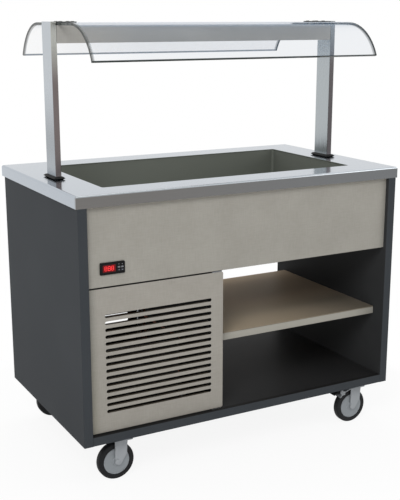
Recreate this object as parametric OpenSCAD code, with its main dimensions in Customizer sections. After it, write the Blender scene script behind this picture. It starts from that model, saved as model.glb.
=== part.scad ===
// Mobile refrigerated salad bar. Millimetres, +Z up, +X to the right of someone who faces
// the louvred front, +Y to the rear. The origin is on the floor under the middle of the worktop.

/* [Worktop] */
// Length of the stainless worktop, side to side
worktop_length = 1200; // [1150:5:1400]
// Depth of the worktop, front to rear
worktop_depth = 705; // [690:5:800]
// Height of the worktop's upper face above the floor
worktop_height = 950; // [900:5:1000]
// Height of the rim that is folded down around the worktop
rim_height = 38; // [30:1:60]
// Thickness of the worktop sheet
worktop_sheet = 2; // [1.5:0.5:3]
// Outer radius of the worktop's folded edge
rim_radius = 7; // [4:0.5:12]

/* [Cabinet] */
// Thickness of the two side panels and of the base panel
carcass_thickness = 30; // [25:1:40]
// Overhang of the worktop past each side panel
side_overhang = 5; // [3:1:20]
// Overhang of the worktop past the cabinet's front
front_overhang = 0.5; // [0:0.5:10]
// Overhang of the worktop past the cabinet's rear
rear_overhang = 12.5; // [5:0.5:20]
// Depth to which the sheet metal panels are set back between the side panels
panel_recess = 15; // [10:1:25]
// Depth of the folded edges of the sheet metal panels
panel_fold = 18; // [15:1:30]
// Sheet thickness of the panels and of the louvred door
panel_sheet = 1.5; // [1:0.25:2.5]
// Height of the front and rear upper panels
upper_panel_height = 250; // [250:5:300]
// Thickness of the partition and of the ceiling of the bay
board_thickness = 18; // [16:1:22]
// Radius of the boards' long edges
board_edge_radius = 1.5; // [0.5:0.5:3]
// Gap left around the panels, and beside and below the door
reveal = 3; // [2.5:0.5:5]

/* [Shelf] */
// Height of the shelf's upper face above the floor
shelf_height = 433; // [380:1:470]
// Thickness of the shelf
shelf_thickness = 22; // [18:1:30]
// Distance of the shelf's front edge from the cabinet's front
shelf_setback = 55; // [30:1:90]
// Diameter of the shelf pins
shelf_pin_diameter = 5; // [4:0.5:8]

/* [Well] */
// Width of the worktop at each end of the well
well_end_board = 130; // [125:5:170]
// Width of the worktop in front of the well and behind it
well_side_board = 107.5; // [100:0.5:130]
// Depth of the well below the worktop's upper face
well_depth = 220; // [160:5:220]
// Radius of the well's upright corners
well_corner_radius = 8; // [5:1:20]
// Sheet thickness of the well tank
well_sheet = 1.5; // [1:0.25:2]
// Room between the foam and each side panel, for the feet of the posts
post_room = 53.5; // [50:0.5:60]
// Room between the front panel and the foam, for the controller's body
panel_room = 50.5; // [45:0.5:60]
// Number of evaporator turns around the well
evaporator_turns = 5; // [3:1:5]
// Outer diameter of the evaporator tube
evaporator_diameter = 8; // [6:1:10]

/* [Food guard] */
// Height of the posts above the worktop
post_rise = 494; // [440:1:560]
// Thickness of a post, side to side
post_width = 20; // [18:1:22]
// Depth of a post, front to rear
post_depth = 80; // [60:1:90]
// Wall thickness of a post
post_wall = 2; // [1.5:0.5:3]
// Distance of each post from the side panel beside it
post_setback = 21.5; // [18:0.5:24]
// Thickness of the curved clear sheet
guard_thickness = 8; // [5:1:10]
// Width of the clear sheet's flat middle, front to rear
guard_flat = 300; // [240:5:340]
// Outer radius of the clear sheet's two bends
guard_radius = 175; // [150:5:190]
// Angle that each bend turns through
guard_angle = 68; // [55:1:80]
// Gap between the clear sheet's ends and the posts
guard_end_gap = 4.5; // [2:0.5:8]
// Thickness of the clamp plates on the clear sheet
clamp_thickness = 3; // [2:0.5:4]
// Height of the rubber collar around a post's foot
collar_height = 9; // [6:1:14]
// Distance that the collar stands out from the post
collar_width = 10; // [6:1:12]

/* [Light box] */
// Height of the light box between the posts
light_box_height = 55; // [45:1:80]
// Sheet thickness of the light box
light_box_sheet = 1.5; // [1:0.25:2]
// Diameter of the lamp tube
lamp_diameter = 26; // [16:1:26]

/* [Louvred door] */
// Width of the machine compartment's door
door_width = 469; // [440:1:500]
// Gap above the door
door_gap = 4.5; // [3:0.5:6]
// Number of louvre slots in the door
louvre_count = 15; // [8:1:15]
// Number of louvre slots in the rear service panel
rear_louvre_count = 12; // [6:1:14]
// Distance from one louvre slot to the next
louvre_pitch = 22.3; // [18:0.1:23]
// Height of a louvre slot
louvre_height = 11; // [6:0.5:12]
// Depth of the lip folded inwards under each slot
louvre_lip = 10; // [6:1:14]
// Distance of the slots' ends from the door's free edge
louvre_end_margin = 52; // [40:1:80]
// Distance of the top slot's middle from the door's upper edge
louvre_top_margin = 89.5; // [60:0.5:110]
// Distance of the top slot's middle from the rear service panel's upper edge
rear_louvre_top_margin = 95.5; // [60:0.5:110]
// Distance of the slots' ends from the door's hinged edge
louvre_side_margin = 43; // [35:1:60]
// Radius of the door's corners
door_corner_radius = 6; // [2:1:12]
// Diameter of the door's pivot pins
door_pin_diameter = 6; // [4:0.5:8]

/* [Controller] */
// Width of the temperature controller's front
controller_width = 82; // [70:1:90]
// Height of the temperature controller's front
controller_height = 38; // [34:1:45]
// Distance that the controller's front stands out from the panel
controller_proud = 4; // [3:0.5:8]
// Distance from the controller's middle to the left side panel
controller_inset = 82.5; // [60:0.5:120]
// Height of the controller's middle above the panel's lower edge
controller_rise = 57; // [40:1:90]
// Travel of a controller key
key_travel = 0.6; // [0.3:0.1:1]

/* [Condensing unit] */
// Diameter of the condenser fan
fan_diameter = 196; // [160:2:210]
// Number of fan blades
fan_blade_count = 5; // [3:1:7]
// Pitch angle of the fan blades
fan_pitch = 28; // [15:1:35]
// Width of the condenser's finned block
condenser_width = 270; // [240:5:300]
// Height of the condenser's finned block
condenser_height = 240; // [220:5:260]
// Depth of the condenser's finned block
condenser_depth = 44; // [30:1:60]
// Number of fins that the condenser shows
condenser_fin_count = 44; // [20:1:50]
// Diameter of the compressor's shell
compressor_diameter = 156; // [130:2:170]
// Height of the compressor's shell
compressor_height = 170; // [140:2:200]
// Outer diameter of the refrigerant pipes
pipe_diameter = 8; // [6:1:10]

/* [Drain] */
// Outer diameter of the drain pipe
drain_diameter = 27; // [22:1:32]
// Wall thickness of the drain pipe
drain_wall = 2; // [1.5:0.5:3]
// Length of the drain spigot below the cabinet
drain_spigot = 40; // [25:1:60]
// Length of the drain valve's lever
drain_lever_length = 84; // [60:1:100]

/* [Casters] */
// Diameter of the caster wheels
wheel_diameter = 125; // [100:1:125]
// Width of the caster wheels
wheel_width = 27; // [22:1:34]
// Diameter of the wheel's grey hub disc
hub_diameter = 90; // [70:1:96]
// Height of a caster's mounting plate above its wheel
caster_headroom = 30; // [30:1:50]
// Distance that the wheel trails behind the swivel axis
caster_trail = 32; // [25:1:40]
// Thickness of the pressed fork
fork_sheet = 3; // [2.5:0.5:4]
// Distance of the left swivel axes from the cabinet's left side
caster_left_inset = 160; // [120:1:200]
// Distance of the right swivel axes from the cabinet's right side
caster_right_inset = 87; // [85:1:160]
// Distance of the front swivel axes from the cabinet's front
caster_front_inset = 62; // [55:1:90]
// Distance of the rear swivel axes from the cabinet's rear
caster_rear_inset = 52; // [50:1:90]

/* [Hidden] */
$fn = 64;

// Clearances
running = 0.05;       // radial clearance of a shaft that turns in a bore
easy = 0.3;           // clearance between pieces that only lie beside each other
slack = 1;            // clearance that lets a large piece drop into place
cut = 1;              // how far a cut runs past the face that it opens
fine_radius = 0.5;    // smallest radius of an inner corner
panel_corner = 2;     // corner radius of the fixed panels
body_gap = 6.5;       // room left between the controller's body and the foam

// Cabinet planes
caster_height = wheel_diameter + caster_headroom;
half_length = worktop_length / 2;
half_depth = worktop_depth / 2;
cabinet_half = half_length - side_overhang;
cabinet_front = -half_depth + front_overhang;
cabinet_rear = half_depth - rear_overhang;
inner_half = cabinet_half - carcass_thickness;
cabinet_top = worktop_height - rim_height;
base_top = caster_height + carcass_thickness;
panel_front = cabinet_front + panel_recess;
panel_rear = cabinet_rear - panel_recess;
front_fold_end = panel_front + panel_fold;
rear_fold_end = panel_rear - panel_fold;
upper_panel_base = cabinet_top - upper_panel_height;
ceiling_base = upper_panel_base + reveal;
ceiling_top = ceiling_base + board_thickness;

// Door and partition
door_left = -inner_half + reveal;
door_right = door_left + door_width;
door_base = base_top + reveal;
door_top = upper_panel_base - door_gap;
pivot_x = door_right - 10;
pivot_y = panel_front + panel_fold / 2;
partition_left = door_right - board_thickness;
partition_front = front_fold_end + 6;
hinge_leaf = 1.5;
hinge_gap = 0.7;
hinge_bush_length = 10;
hinge_leg = [20, 70];
hinge_leg_x = partition_left - 22;
hinge_block = 46;
hinge_plate_width = 18;
magnet_size = [16, 15, 40];
louvre_length = door_width - louvre_side_margin - louvre_end_margin;
louvre_x = door_right - louvre_side_margin - louvre_length / 2;
louvre_lip_sheet = 1;
door_top_slot = door_top - louvre_top_margin;
rear_top_slot = door_top - rear_louvre_top_margin;

// Well
well_length = worktop_length - 2 * well_end_board;
well_width = worktop_depth - 2 * well_side_board;
tank_half_x = well_length / 2 + well_sheet;
tank_half_y = well_width / 2 + well_sheet;
well_floor = worktop_height - well_depth;
tank_base = well_floor - well_sheet;
sheet_underside = worktop_height - worktop_sheet;
tank_flange = 15;
foam_half_x = inner_half - post_room;
foam_half_y = -panel_front - panel_room;
evaporator_seat = evaporator_diameter + 2 * easy;
evaporator_pitch = 30;
evaporator_start = tank_base + 30;

// Guard, posts and light box
post_outer = inner_half - post_setback;
post_inner = post_outer - post_width;
post_top = worktop_height + post_rise;
post_foot = cabinet_top - 40;
post_flange = post_room - post_setback - post_width - reveal;
guard_top = post_top - clamp_thickness;
guard_half = post_inner - guard_end_gap;
guard_underside = guard_top - guard_thickness;
light_box_top = guard_underside;
light_box_base = light_box_top - light_box_height;
light_box_half = post_inner - easy;
clamp_length = 64;
clamp_x = guard_half - clamp_length / 2 - 4;
clamp_bolt_spacing = 40;
clamp_bolt_diameter = 6;
lamp_z = light_box_base + 26;
lamp_end_room = 60;
lamp_half = light_box_half - lamp_end_room;
lamp_cap = 14;
lamp_pin_radius = 1.2;
lamp_pin_length = 8;
lamp_pin_offset = 6;
lamp_holder_thickness = 12;
lamp_holder_size = [22, 30];
diffuser_thickness = 2.5;
diffuser_lip = 9;

// Controller
controller_x = -inner_half + controller_inset;
controller_z = upper_panel_base + controller_rise;
controller_face = panel_front - controller_proud;
controller_neck = [controller_width - 8, controller_height - 9];
controller_body = panel_room - body_gap;
key_size = [8, 3, 5];
key_pitch = [11, 9];
key_centre_x = controller_x + controller_width / 2 - 14.5;
key_centre_z = controller_z - 3;
window_size = [42, 22];
window_x = controller_x - 11;

// Drain, at the right rear of the machine compartment
drain_x = partition_left - 28;
drain_y = well_width / 2 - 45;
valve_z = base_top + 300;
valve_half = 34;
stem_length = 30;
stem_diameter = 8;
lever_y = drain_y - drain_diameter / 2 - stem_length;

// Condensing unit, on a tray between the left side panel and the drain
tray_sheet = 2;
tray_height = 22;
tray_left = -inner_half + 20;
tray_right = drain_x - drain_diameter / 2 - 16;
tray_inset = 43;
tray_size = [tray_right - tray_left, rear_fold_end - front_fold_end - 2 * tray_inset];
tray_y = (front_fold_end + rear_fold_end) / 2;
tray_floor = base_top + tray_sheet;
condenser_base = tray_floor;
condenser_front = tray_y - tray_size[1] / 2 + 14;
condenser_back = condenser_front + condenser_depth;
condenser_plate = 2;
shroud_depth = 34;
arm_depth = 8;
fan_x = (tray_left + tray_right) / 2;
fan_y = condenser_back + shroud_depth / 2;
fan_z = condenser_base + condenser_height / 2;
fan_shaft_diameter = 6;
motor_front = condenser_back + shroud_depth + arm_depth;
motor_length = 48;
motor_diameter = 86;
compressor_x = fan_x - 30;
compressor_y = tray_y + tray_size[1] / 2 - 158;
compressor_base = tray_floor + 12;

// Evaporator around the tank, and where its two ends pass through foam and ceiling
evaporator_x = tank_half_x + easy + evaporator_diameter / 2;
evaporator_y = tank_half_y + easy + evaporator_diameter / 2;
evaporator_bend = well_corner_radius + well_sheet + evaporator_diameter / 2;
evaporator_top = evaporator_start + (evaporator_turns - 1) * evaporator_pitch;
liquid_riser = [-evaporator_x + 60, evaporator_y];
suction_riser = [-evaporator_x + 120, evaporator_y + 2 * evaporator_bend + slack];
riser_base = ceiling_base - 10;

// Casters
axle_z = wheel_diameter / 2;
axle_diameter = 12;
leg_inner = wheel_width / 2 + 3;
leg_outer = leg_inner + fork_sheet;
fender_radius = wheel_diameter / 2 + 5;
crown_top = axle_z + fender_radius + fork_sheet;
plate_thickness = 3;
race_top = caster_height - plate_thickness;
race_gap = 0.5;
race_split = crown_top + 6;
kingpin_diameter = 12;
fender_angle = 52;
pedal_pin_diameter = 6;
pedal_pin_x = -caster_trail - 47;
pedal_pin_z = axle_z + wheel_diameter / 2 + 1;
plate_size = [104, 84];
plate_bolt = [80, 60];
caster_bolt_diameter = 8;
caster_bolt_depth = 20;

// ---------- Shared shapes ----------

// Rounded rectangle about the origin, made of true arcs
module rounded_rect(size, radius) {
  square([size[0] - 2 * radius, size[1]], center = true);
  square([size[0], size[1] - 2 * radius], center = true);
  for (x = [-1, 1], y = [-1, 1])
    translate([x * (size[0] / 2 - radius), y * (size[1] / 2 - radius)])
      circle(radius);
}

// Upright prism with rounded corners: centre and size in plan, then its lower and upper level
module upright(centre, size, radius, low, high) {
  translate([centre[0], centre[1], low])
    linear_extrude(high - low)
      rounded_rect(size, radius);
}

// Board that fills the box from one corner to the other, its four upright edges eased
module upright_board(low, high) {
  upright([(low[0] + high[0]) / 2, (low[1] + high[1]) / 2],
          [high[0] - low[0], high[1] - low[1]], board_edge_radius, low[2], high[2]);
}

// Board that fills the box, its four edges along X eased
module level_board(low, high) {
  translate([low[0], (low[1] + high[1]) / 2, (low[2] + high[2]) / 2])
    rotate([90, 0, 90])
      linear_extrude(high[0] - low[0])
        rounded_rect([high[1] - low[1], high[2] - low[2]], board_edge_radius);
}

// Cylinder along Y from one depth to another, at a place in the XZ plane
module along_y(x, z, from, to, radius) {
  translate([x, to, z])
    rotate([90, 0, 0])
      cylinder(h = to - from, r = radius);
}

// Cylinder along X
module along_x(y, z, from, to, radius) {
  translate([from, y, z])
    rotate([0, 90, 0])
      cylinder(h = to - from, r = radius);
}

// Outline in the XZ plane, extruded along Y between two depths
module facing_y(from, to) {
  translate([0, to, 0])
    rotate([90, 0, 0])
      linear_extrude(to - from)
        children();
}

// Outline in the YZ plane, extruded along X between two places
module facing_x(from, to) {
  translate([from, 0, 0])
    rotate([90, 0, 90])
      linear_extrude(to - from)
        children();
}

// Horizontal slot with round ends, in two dimensions, about its middle
module slot(length, height) {
  square([length - height, height], center = true);
  for (side = [-1, 1])
    translate([side * (length - height) / 2, 0])
      circle(height / 2, $fn = 24);
}

// Vector of length one
function unit(v) = v / norm(v);

// Points of an arc that rounds the corner b between a and c with a bend radius
function bend(a, b, c, radius, steps) =
  let (u = unit(a - b), v = unit(c - b), half = acos(u * v) / 2)
  let (run = radius / tan(half), middle = b + unit(u + v) * radius / sin(half))
  let (from = b + u * run - middle, to = b + v * run - middle, sweep = 180 - 2 * half)
  [for (k = [0:steps])
    middle + (sin(sweep * (1 - k / steps)) * from + sin(sweep * k / steps) * to) / sin(sweep)];

// A route with every inner corner rounded
function rounded_route(points, radius, steps = 4) = [
  points[0],
  for (i = [1:len(points) - 2])
    each bend(points[i - 1], points[i], points[i + 1], radius, steps),
  points[len(points) - 1]
];

// Direction of a route at one of its points
function heading(route, i) =
  i == 0 ? unit(route[1] - route[0])
  : i == len(route) - 1 ? unit(route[i] - route[i - 1])
  : unit(unit(route[i + 1] - route[i]) + unit(route[i] - route[i - 1]));

// A direction square to another
function square_to(v) = unit(cross(v, abs(v[2]) < 0.8 ? [0, 0, 1] : [1, 0, 0]));

// Side directions carried along a route without twist
function carried(route) = [
  for (i = 0, side = square_to(heading(route, 0)); i < len(route);
       i = i + 1,
       side = i < len(route)
         ? unit(side - (side * heading(route, i)) * heading(route, i))
         : side)
    side
];

// Round tube swept along a route
module swept(route, radius, sides = 10) {
  side = carried(route);
  rings = len(route);
  points = [
    for (i = [0:rings - 1])
      let (other = cross(heading(route, i), side[i]))
      for (k = [0:sides - 1])
        route[i] + radius * (cos(360 * k / sides) * side[i] + sin(360 * k / sides) * other)
  ];
  walls = [
    for (i = [0:rings - 2], k = [0:sides - 1])
      let (next = (k + 1) % sides)
      for (half = [0, 1])
        half == 0
          ? [i * sides + k, (i + 1) * sides + next, i * sides + next]
          : [i * sides + k, (i + 1) * sides + k, (i + 1) * sides + next]
  ];
  polyhedron(
    points,
    concat([[for (k = [0:sides - 1]) k]],
           walls,
           [[for (k = [sides - 1:-1:0]) (rings - 1) * sides + k]]));
}

// ---------- Cabinet ----------

// One side panel, with the bores for the shelf pins where the bay is
module side_panel(side) {
  from = side < 0 ? -cabinet_half : inner_half;
  difference() {
    upright_board([from, cabinet_front, caster_height],
                  [from + carcass_thickness, cabinet_rear, cabinet_top]);
    if (side > 0)
      shelf_pin_bores(inner_half);
  }
}

module left_side_panel() {
  color([0.27, 0.29, 0.30]) side_panel(-1);
}

module right_side_panel() {
  color([0.27, 0.29, 0.30]) side_panel(1);
}

// Floor of the cabinet, bored for the caster bolts and for the drain
module base_panel() {
  color([0.27, 0.29, 0.30])
    difference() {
      level_board([-inner_half, cabinet_front, caster_height],
                  [inner_half, cabinet_rear, base_top]);
      translate([drain_x, drain_y, caster_height - cut])
        cylinder(h = carcass_thickness + 2 * cut, r = drain_diameter / 2 + slack);
      at_casters()
        at_caster_bolts()
          translate([0, 0, caster_height - cut])
            cylinder(h = caster_bolt_depth + cut + easy,
                     r = caster_bolt_diameter / 2 + running, $fn = 32);
    }
}

// Upright wall between the machine compartment and the open bay
module partition_panel() {
  color([0.22, 0.235, 0.245])
    difference() {
      upright_board([partition_left, partition_front, base_top],
                    [door_right, rear_fold_end, ceiling_base]);
      shelf_pin_bores(door_right);
    }
}

// Ceiling of the bay and of the machine compartment, which carries the insulated well
module bay_ceiling_panel() {
  color([0.22, 0.235, 0.245])
    difference() {
      translate([-inner_half, front_fold_end, ceiling_base])
        cube([2 * inner_half, rear_fold_end - front_fold_end, board_thickness]);
      translate([drain_x, drain_y, ceiling_base - cut])
        cylinder(h = board_thickness + 2 * cut, r = drain_diameter / 2 + slack);
      riser_bores(ceiling_base - cut, ceiling_top + cut, ceiling_top + cut);
    }
}

// Bores for the evaporator's two ends, each up to its own level
module riser_bores(low, liquid_high, suction_high) {
  radius = evaporator_diameter / 2 + slack;
  translate([liquid_riser[0], liquid_riser[1], low])
    cylinder(h = liquid_high - low, r = radius, $fn = 32);
  translate([suction_riser[0], suction_riser[1], low])
    cylinder(h = suction_high - low, r = radius, $fn = 32);
}

// Sheet metal panel with folded edges; the outside faces -Y and stands at y = 0.
// The panel's cut-outs go through the front sheet as child outlines in the XZ plane.
module folded_panel(left, right, low, high, radius) {
  width = right - left;
  height = high - low;
  difference() {
    facing_y(0, panel_fold)
      translate([(left + right) / 2, (low + high) / 2])
        rounded_rect([width, height], radius);
    facing_y(panel_sheet, panel_fold + cut)
      translate([(left + right) / 2, (low + high) / 2])
        rounded_rect([width - 2 * panel_sheet, height - 2 * panel_sheet],
                     max(radius - panel_sheet, fine_radius));
    facing_y(-cut, panel_sheet + cut)
      children();
  }
}

// Panel between the side panels, below the worktop, with the controller's cut-out
module front_upper_panel() {
  color([0.60, 0.585, 0.55])
    translate([0, panel_front, 0])
      folded_panel(-inner_half, inner_half, upper_panel_base, cabinet_top, panel_corner)
        translate([controller_x, controller_z])
          square(controller_neck + [easy, easy] * 2, center = true);
}

module rear_upper_panel() {
  color([0.60, 0.585, 0.55])
    translate([0, panel_rear, 0])
      mirror([0, 1, 0])
        folded_panel(-inner_half, inner_half, upper_panel_base, cabinet_top, panel_corner);
}

// Louvre slots in the XZ plane, from the top slot's middle downwards
module louvres(count, top) {
  for (k = [0:count - 1])
    translate([louvre_x, top - k * louvre_pitch])
      slot(louvre_length, louvre_height);
}

// Lips folded inwards under the slots of a panel whose outside faces -Y and stands at y = 0
module louvre_lips(count, top) {
  half = (louvre_length - louvre_height) / 2 - slack;
  for (k = [0:count - 1])
    facing_x(louvre_x - half, louvre_x + half)
      translate([panel_sheet / 2,
                 top - k * louvre_pitch - louvre_height / 2 - louvre_lip_sheet - easy])
        square([panel_sheet / 2 + louvre_lip, louvre_lip_sheet]);
}

// Fixed louvred panel that closes the machine compartment at the rear
module rear_service_panel() {
  color([0.60, 0.585, 0.55])
    translate([0, panel_rear, 0])
      mirror([0, 1, 0]) {
        folded_panel(-inner_half, door_right, base_top, door_top, panel_corner) {
          louvres(rear_louvre_count, rear_top_slot);
          translate([gland_x, gland_z])
            circle(gland_radius + easy);
        }
        louvre_lips(rear_louvre_count, rear_top_slot);
      }
}

// ---------- Shelf ----------

shelf_front = cabinet_front + shelf_setback;
shelf_rear = cabinet_rear - shelf_setback;
shelf_base = shelf_height - shelf_thickness;
shelf_pin_length = 24;
shelf_pin_depth = 12;
shelf_pin_inset = 60;
shelf_pin_z = shelf_base - shelf_pin_diameter / 2;

// Places of the shelf pins, front and rear
module at_shelf_pins() {
  for (y = [shelf_front + shelf_pin_inset, shelf_rear - shelf_pin_inset])
    translate([0, y, 0])
      children();
}

// Bores for the pins, into the panel face at the given place
module shelf_pin_bores(face) {
  at_shelf_pins()
    along_x(0, shelf_pin_z, face - shelf_pin_depth - easy, face + shelf_pin_depth + easy,
            shelf_pin_diameter / 2 + running, $fn = 24);
}

module shelf() {
  color([0.55, 0.53, 0.49])
    level_board([door_right + slack, shelf_front, shelf_base],
                [inner_half - slack, shelf_rear, shelf_height]);
}

// Four steel pins, half in the panels and half under the shelf
module shelf_pins() {
  color([0.75, 0.76, 0.78])
    for (face = [door_right, inner_half])
      at_shelf_pins()
        along_x(0, shelf_pin_z, face - shelf_pin_length / 2, face + shelf_pin_length / 2,
                shelf_pin_diameter / 2, $fn = 24);
}

// ---------- Worktop and well ----------

// Solid with the worktop's outline, its upper edges rounded; inset on every side
module worktop_form(inset, low) {
  radius = max(rim_radius - inset, fine_radius);
  intersection() {
    facing_y(-half_depth + inset, half_depth - inset)
      rounded_top(half_length - inset, radius, low, worktop_height - inset);
    facing_x(-half_length + inset, half_length - inset)
      rounded_top(half_depth - inset, radius, low, worktop_height - inset);
  }
}

// Upright rectangle with two rounded upper corners
module rounded_top(half, radius, low, high) {
  translate([-half, low])
    square([2 * half, high - radius - low]);
  translate([-half + radius, low])
    square([2 * (half - radius), high - low]);
  for (side = [-1, 1])
    translate([side * (half - radius), high - radius])
      circle(radius);
}

// The two post cut-outs, with a clearance on every side
module post_cutouts(clearance, low, high) {
  for (side = [-1, 1])
    upright([side * (post_outer - post_width / 2), 0],
            [post_width + 2 * clearance, post_depth + 2 * clearance],
            post_wall, low, high);
}

module worktop() {
  color([0.80, 0.82, 0.85])
    difference() {
      worktop_form(0, cabinet_top);
      worktop_form(worktop_sheet, cabinet_top - cut);
      upright([0, 0], [well_length, well_width], well_corner_radius,
              sheet_underside - cut, worktop_height + cut);
      post_cutouts(easy, sheet_underside - cut, worktop_height + cut);
    }
}

// Frame under the worktop sheet that rests on the cabinet and carries the posts
module worktop_subframe() {
  color([0.55, 0.50, 0.42])
    difference() {
      upright([0, 0], [worktop_length - 2 * rim_radius, worktop_depth - 2 * rim_radius],
              board_edge_radius, cabinet_top, sheet_underside);
      upright([0, 0], [2 * (foam_half_x + slack), 2 * (foam_half_y + slack)],
              well_corner_radius, cabinet_top - cut, sheet_underside + cut);
      post_cutouts(easy, cabinet_top - cut, sheet_underside + cut);
    }
}

// Stainless tank of the well, with the flange that is welded under the worktop
module well_tank() {
  color([0.42, 0.43, 0.41])
    difference() {
      union() {
        upright([0, 0], [2 * tank_half_x, 2 * tank_half_y],
                well_corner_radius + well_sheet, tank_base, sheet_underside);
        upright([0, 0],
                [2 * (tank_half_x + tank_flange), 2 * (tank_half_y + tank_flange)],
                well_corner_radius + well_sheet, sheet_underside - well_sheet,
                sheet_underside);
      }
      upright([0, 0], [well_length, well_width], well_corner_radius,
              well_floor, sheet_underside + cut);
      translate([drain_x, drain_y, tank_base - cut])
        cylinder(h = well_sheet + 2 * cut, r = drain_diameter / 2 + easy);
    }
}

// Foam around the well, with the channel for the evaporator and the passages for the pipes
module well_insulation() {
  color([0.86, 0.80, 0.58])
    difference() {
      upright([0, 0], [2 * foam_half_x, 2 * foam_half_y], well_corner_radius,
              ceiling_top, sheet_underside - well_sheet);
      upright([0, 0], [2 * tank_half_x, 2 * tank_half_y],
              well_corner_radius + well_sheet, tank_base, sheet_underside);
      upright([0, 0],
              [2 * (tank_half_x + evaporator_seat), 2 * (tank_half_y + evaporator_seat)],
              well_corner_radius + well_sheet,
              evaporator_start - evaporator_pitch / 2,
              evaporator_start + evaporator_turns * evaporator_pitch + evaporator_pitch / 2);
      translate([drain_x, drain_y, ceiling_top - cut])
        cylinder(h = tank_base - ceiling_top + 2 * cut, r = drain_diameter / 2 + slack);
      riser_bores(ceiling_top - cut, evaporator_start, evaporator_top + evaporator_diameter);
      along_y(suction_riser[0], evaporator_top, tank_half_y, suction_riser[1], evaporator_bend);
    }
}

// Evaporator: rectangular turns that climb along their rear run, with both ends led down
module evaporator_coil() {
  corners = [[-1, 1], [-1, -1], [1, -1], [1, 1]];
  route = [
    [liquid_riser[0], liquid_riser[1], riser_base],
    [liquid_riser[0], liquid_riser[1], evaporator_start],
    for (turn = [0:evaporator_turns - 1], corner = corners)
      [corner[0] * evaporator_x, corner[1] * evaporator_y,
       evaporator_start + turn * evaporator_pitch],
    [suction_riser[0], evaporator_y, evaporator_top],
    [suction_riser[0], suction_riser[1], evaporator_top],
    [suction_riser[0], suction_riser[1], riser_base]
  ];
  color([0.72, 0.45, 0.28])
    swept(rounded_route(route, evaporator_bend, 3), evaporator_diameter / 2, 8);
}

// ---------- Drain ----------

// Tube between two levels at the drain
module drain_tube(low, high, radius) {
  translate([drain_x, drain_y, low])
    difference() {
      cylinder(h = high - low, r = radius);
      translate([0, 0, -cut])
        cylinder(h = high - low + 2 * cut, r = drain_diameter / 2 - drain_wall);
    }
}

strainer_thickness = 2;
strainer_radius = 32;

// Strainer plate on the well's floor, with rings of holes
module strainer() {
  translate([drain_x, drain_y, well_floor])
    difference() {
      cylinder(h = strainer_thickness, r = strainer_radius);
      for (ring = [0, 1], k = [0:5 + 6 * ring])
        rotate(360 * k / (6 + 6 * ring))
          translate([4.5 + 4.5 * ring, 0, -cut])
            cylinder(h = strainer_thickness + 2 * cut, r = 1.5, $fn = 16);
    }
}

module drain_pipes() {
  tail_top = caster_height - 8;
  color([0.72, 0.73, 0.75]) {
    drain_tube(valve_z + valve_half, well_floor, drain_diameter / 2);
    strainer();
    drain_tube(tail_top, valve_z - valve_half, drain_diameter / 2);
    drain_tube(caster_height - drain_spigot, tail_top, drain_diameter / 2 - 1);
  }
}

// Ball valve: hexagon ends, round body and the boss for the stem
module drain_valve() {
  bore = drain_diameter / 2 - drain_wall;
  end_length = 14;
  color([0.78, 0.62, 0.32])
    translate([drain_x, drain_y, valve_z])
      difference() {
        union() {
          for (side = [-1, 1])
            translate([0, 0, side * (valve_half - end_length / 2)])
              cylinder(h = end_length, r = drain_diameter / 2 + 5, center = true, $fn = 6);
          rotate_extrude()
            intersection() {
              translate([0, -valve_half + end_length])
                square([drain_diameter, 2 * (valve_half - end_length)]);
              circle(drain_diameter / 2 + 7);
            }
          cylinder(h = 2 * (valve_half - cut), r = drain_diameter / 2 + 2, center = true);
          along_y(0, 0, -drain_diameter / 2 - stem_length + 10, 0, stem_diameter / 2 + 4);
        }
        translate([0, 0, -valve_half - cut])
          cylinder(h = 2 * valve_half + 2 * cut, r = bore);
        along_y(0, 0, -drain_diameter / 2 - stem_length, 0, stem_diameter / 2 + running);
      }
}

// Lever with its stem; at rest it points sideways, across the pipe, and the valve is shut
module drain_lever() {
  color([0.70, 0.13, 0.12]) {
    along_y(drain_x, valve_z, lever_y, drain_y - drain_diameter / 2 + 4, stem_diameter / 2);
    facing_y(lever_y - 4, lever_y) {
      translate([drain_x, valve_z])
        circle(11);
      translate([drain_x - drain_lever_length, valve_z - 7])
        square([drain_lever_length, 14]);
      translate([drain_x - drain_lever_length, valve_z])
        circle(7);
    }
  }
}

// ---------- Posts, light box and guard ----------

// Rectangular tube with a closed top and a flange under the subframe
module guard_post(side) {
  centre = [side * (post_outer - post_width / 2), 0];
  flange = [post_width + 2 * post_flange, post_depth + 4 * post_flange];
  color([0.74, 0.76, 0.78])
    difference() {
      union() {
        upright(centre, [post_width, post_depth], post_wall, post_foot, post_top);
        upright(centre, flange, 4, cabinet_top - 4, cabinet_top);
      }
      upright(centre, [post_width - 2 * post_wall, post_depth - 2 * post_wall], fine_radius,
              post_foot - cut, post_top - post_wall);
    }
}

module left_post() {
  guard_post(-1);
}

module right_post() {
  guard_post(1);
}

// Outline of a collar seen along one side: flat foot and top, a ridge at half height
module collar_outline(half) {
  polygon([
    [-half - collar_width * 0.4, 0], [half + collar_width * 0.4, 0],
    [half + collar_width, collar_height * 0.45], [half + collar_width * 0.35, collar_height],
    [-half - collar_width * 0.35, collar_height], [-half - collar_width, collar_height * 0.45]
  ]);
}

// Black rubber collars around the posts' feet
module post_collars() {
  color([0.06, 0.06, 0.06])
    for (side = [-1, 1])
      translate([side * (post_outer - post_width / 2), 0, worktop_height])
        difference() {
          intersection() {
            facing_y(-post_depth, post_depth)
              collar_outline(post_width / 2);
            facing_x(-post_depth, post_depth)
              collar_outline(post_depth / 2);
          }
          upright([0, 0], [post_width + 2 * running, post_depth + 2 * running],
                  post_wall, -cut, collar_height + cut);
        }
}

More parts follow.
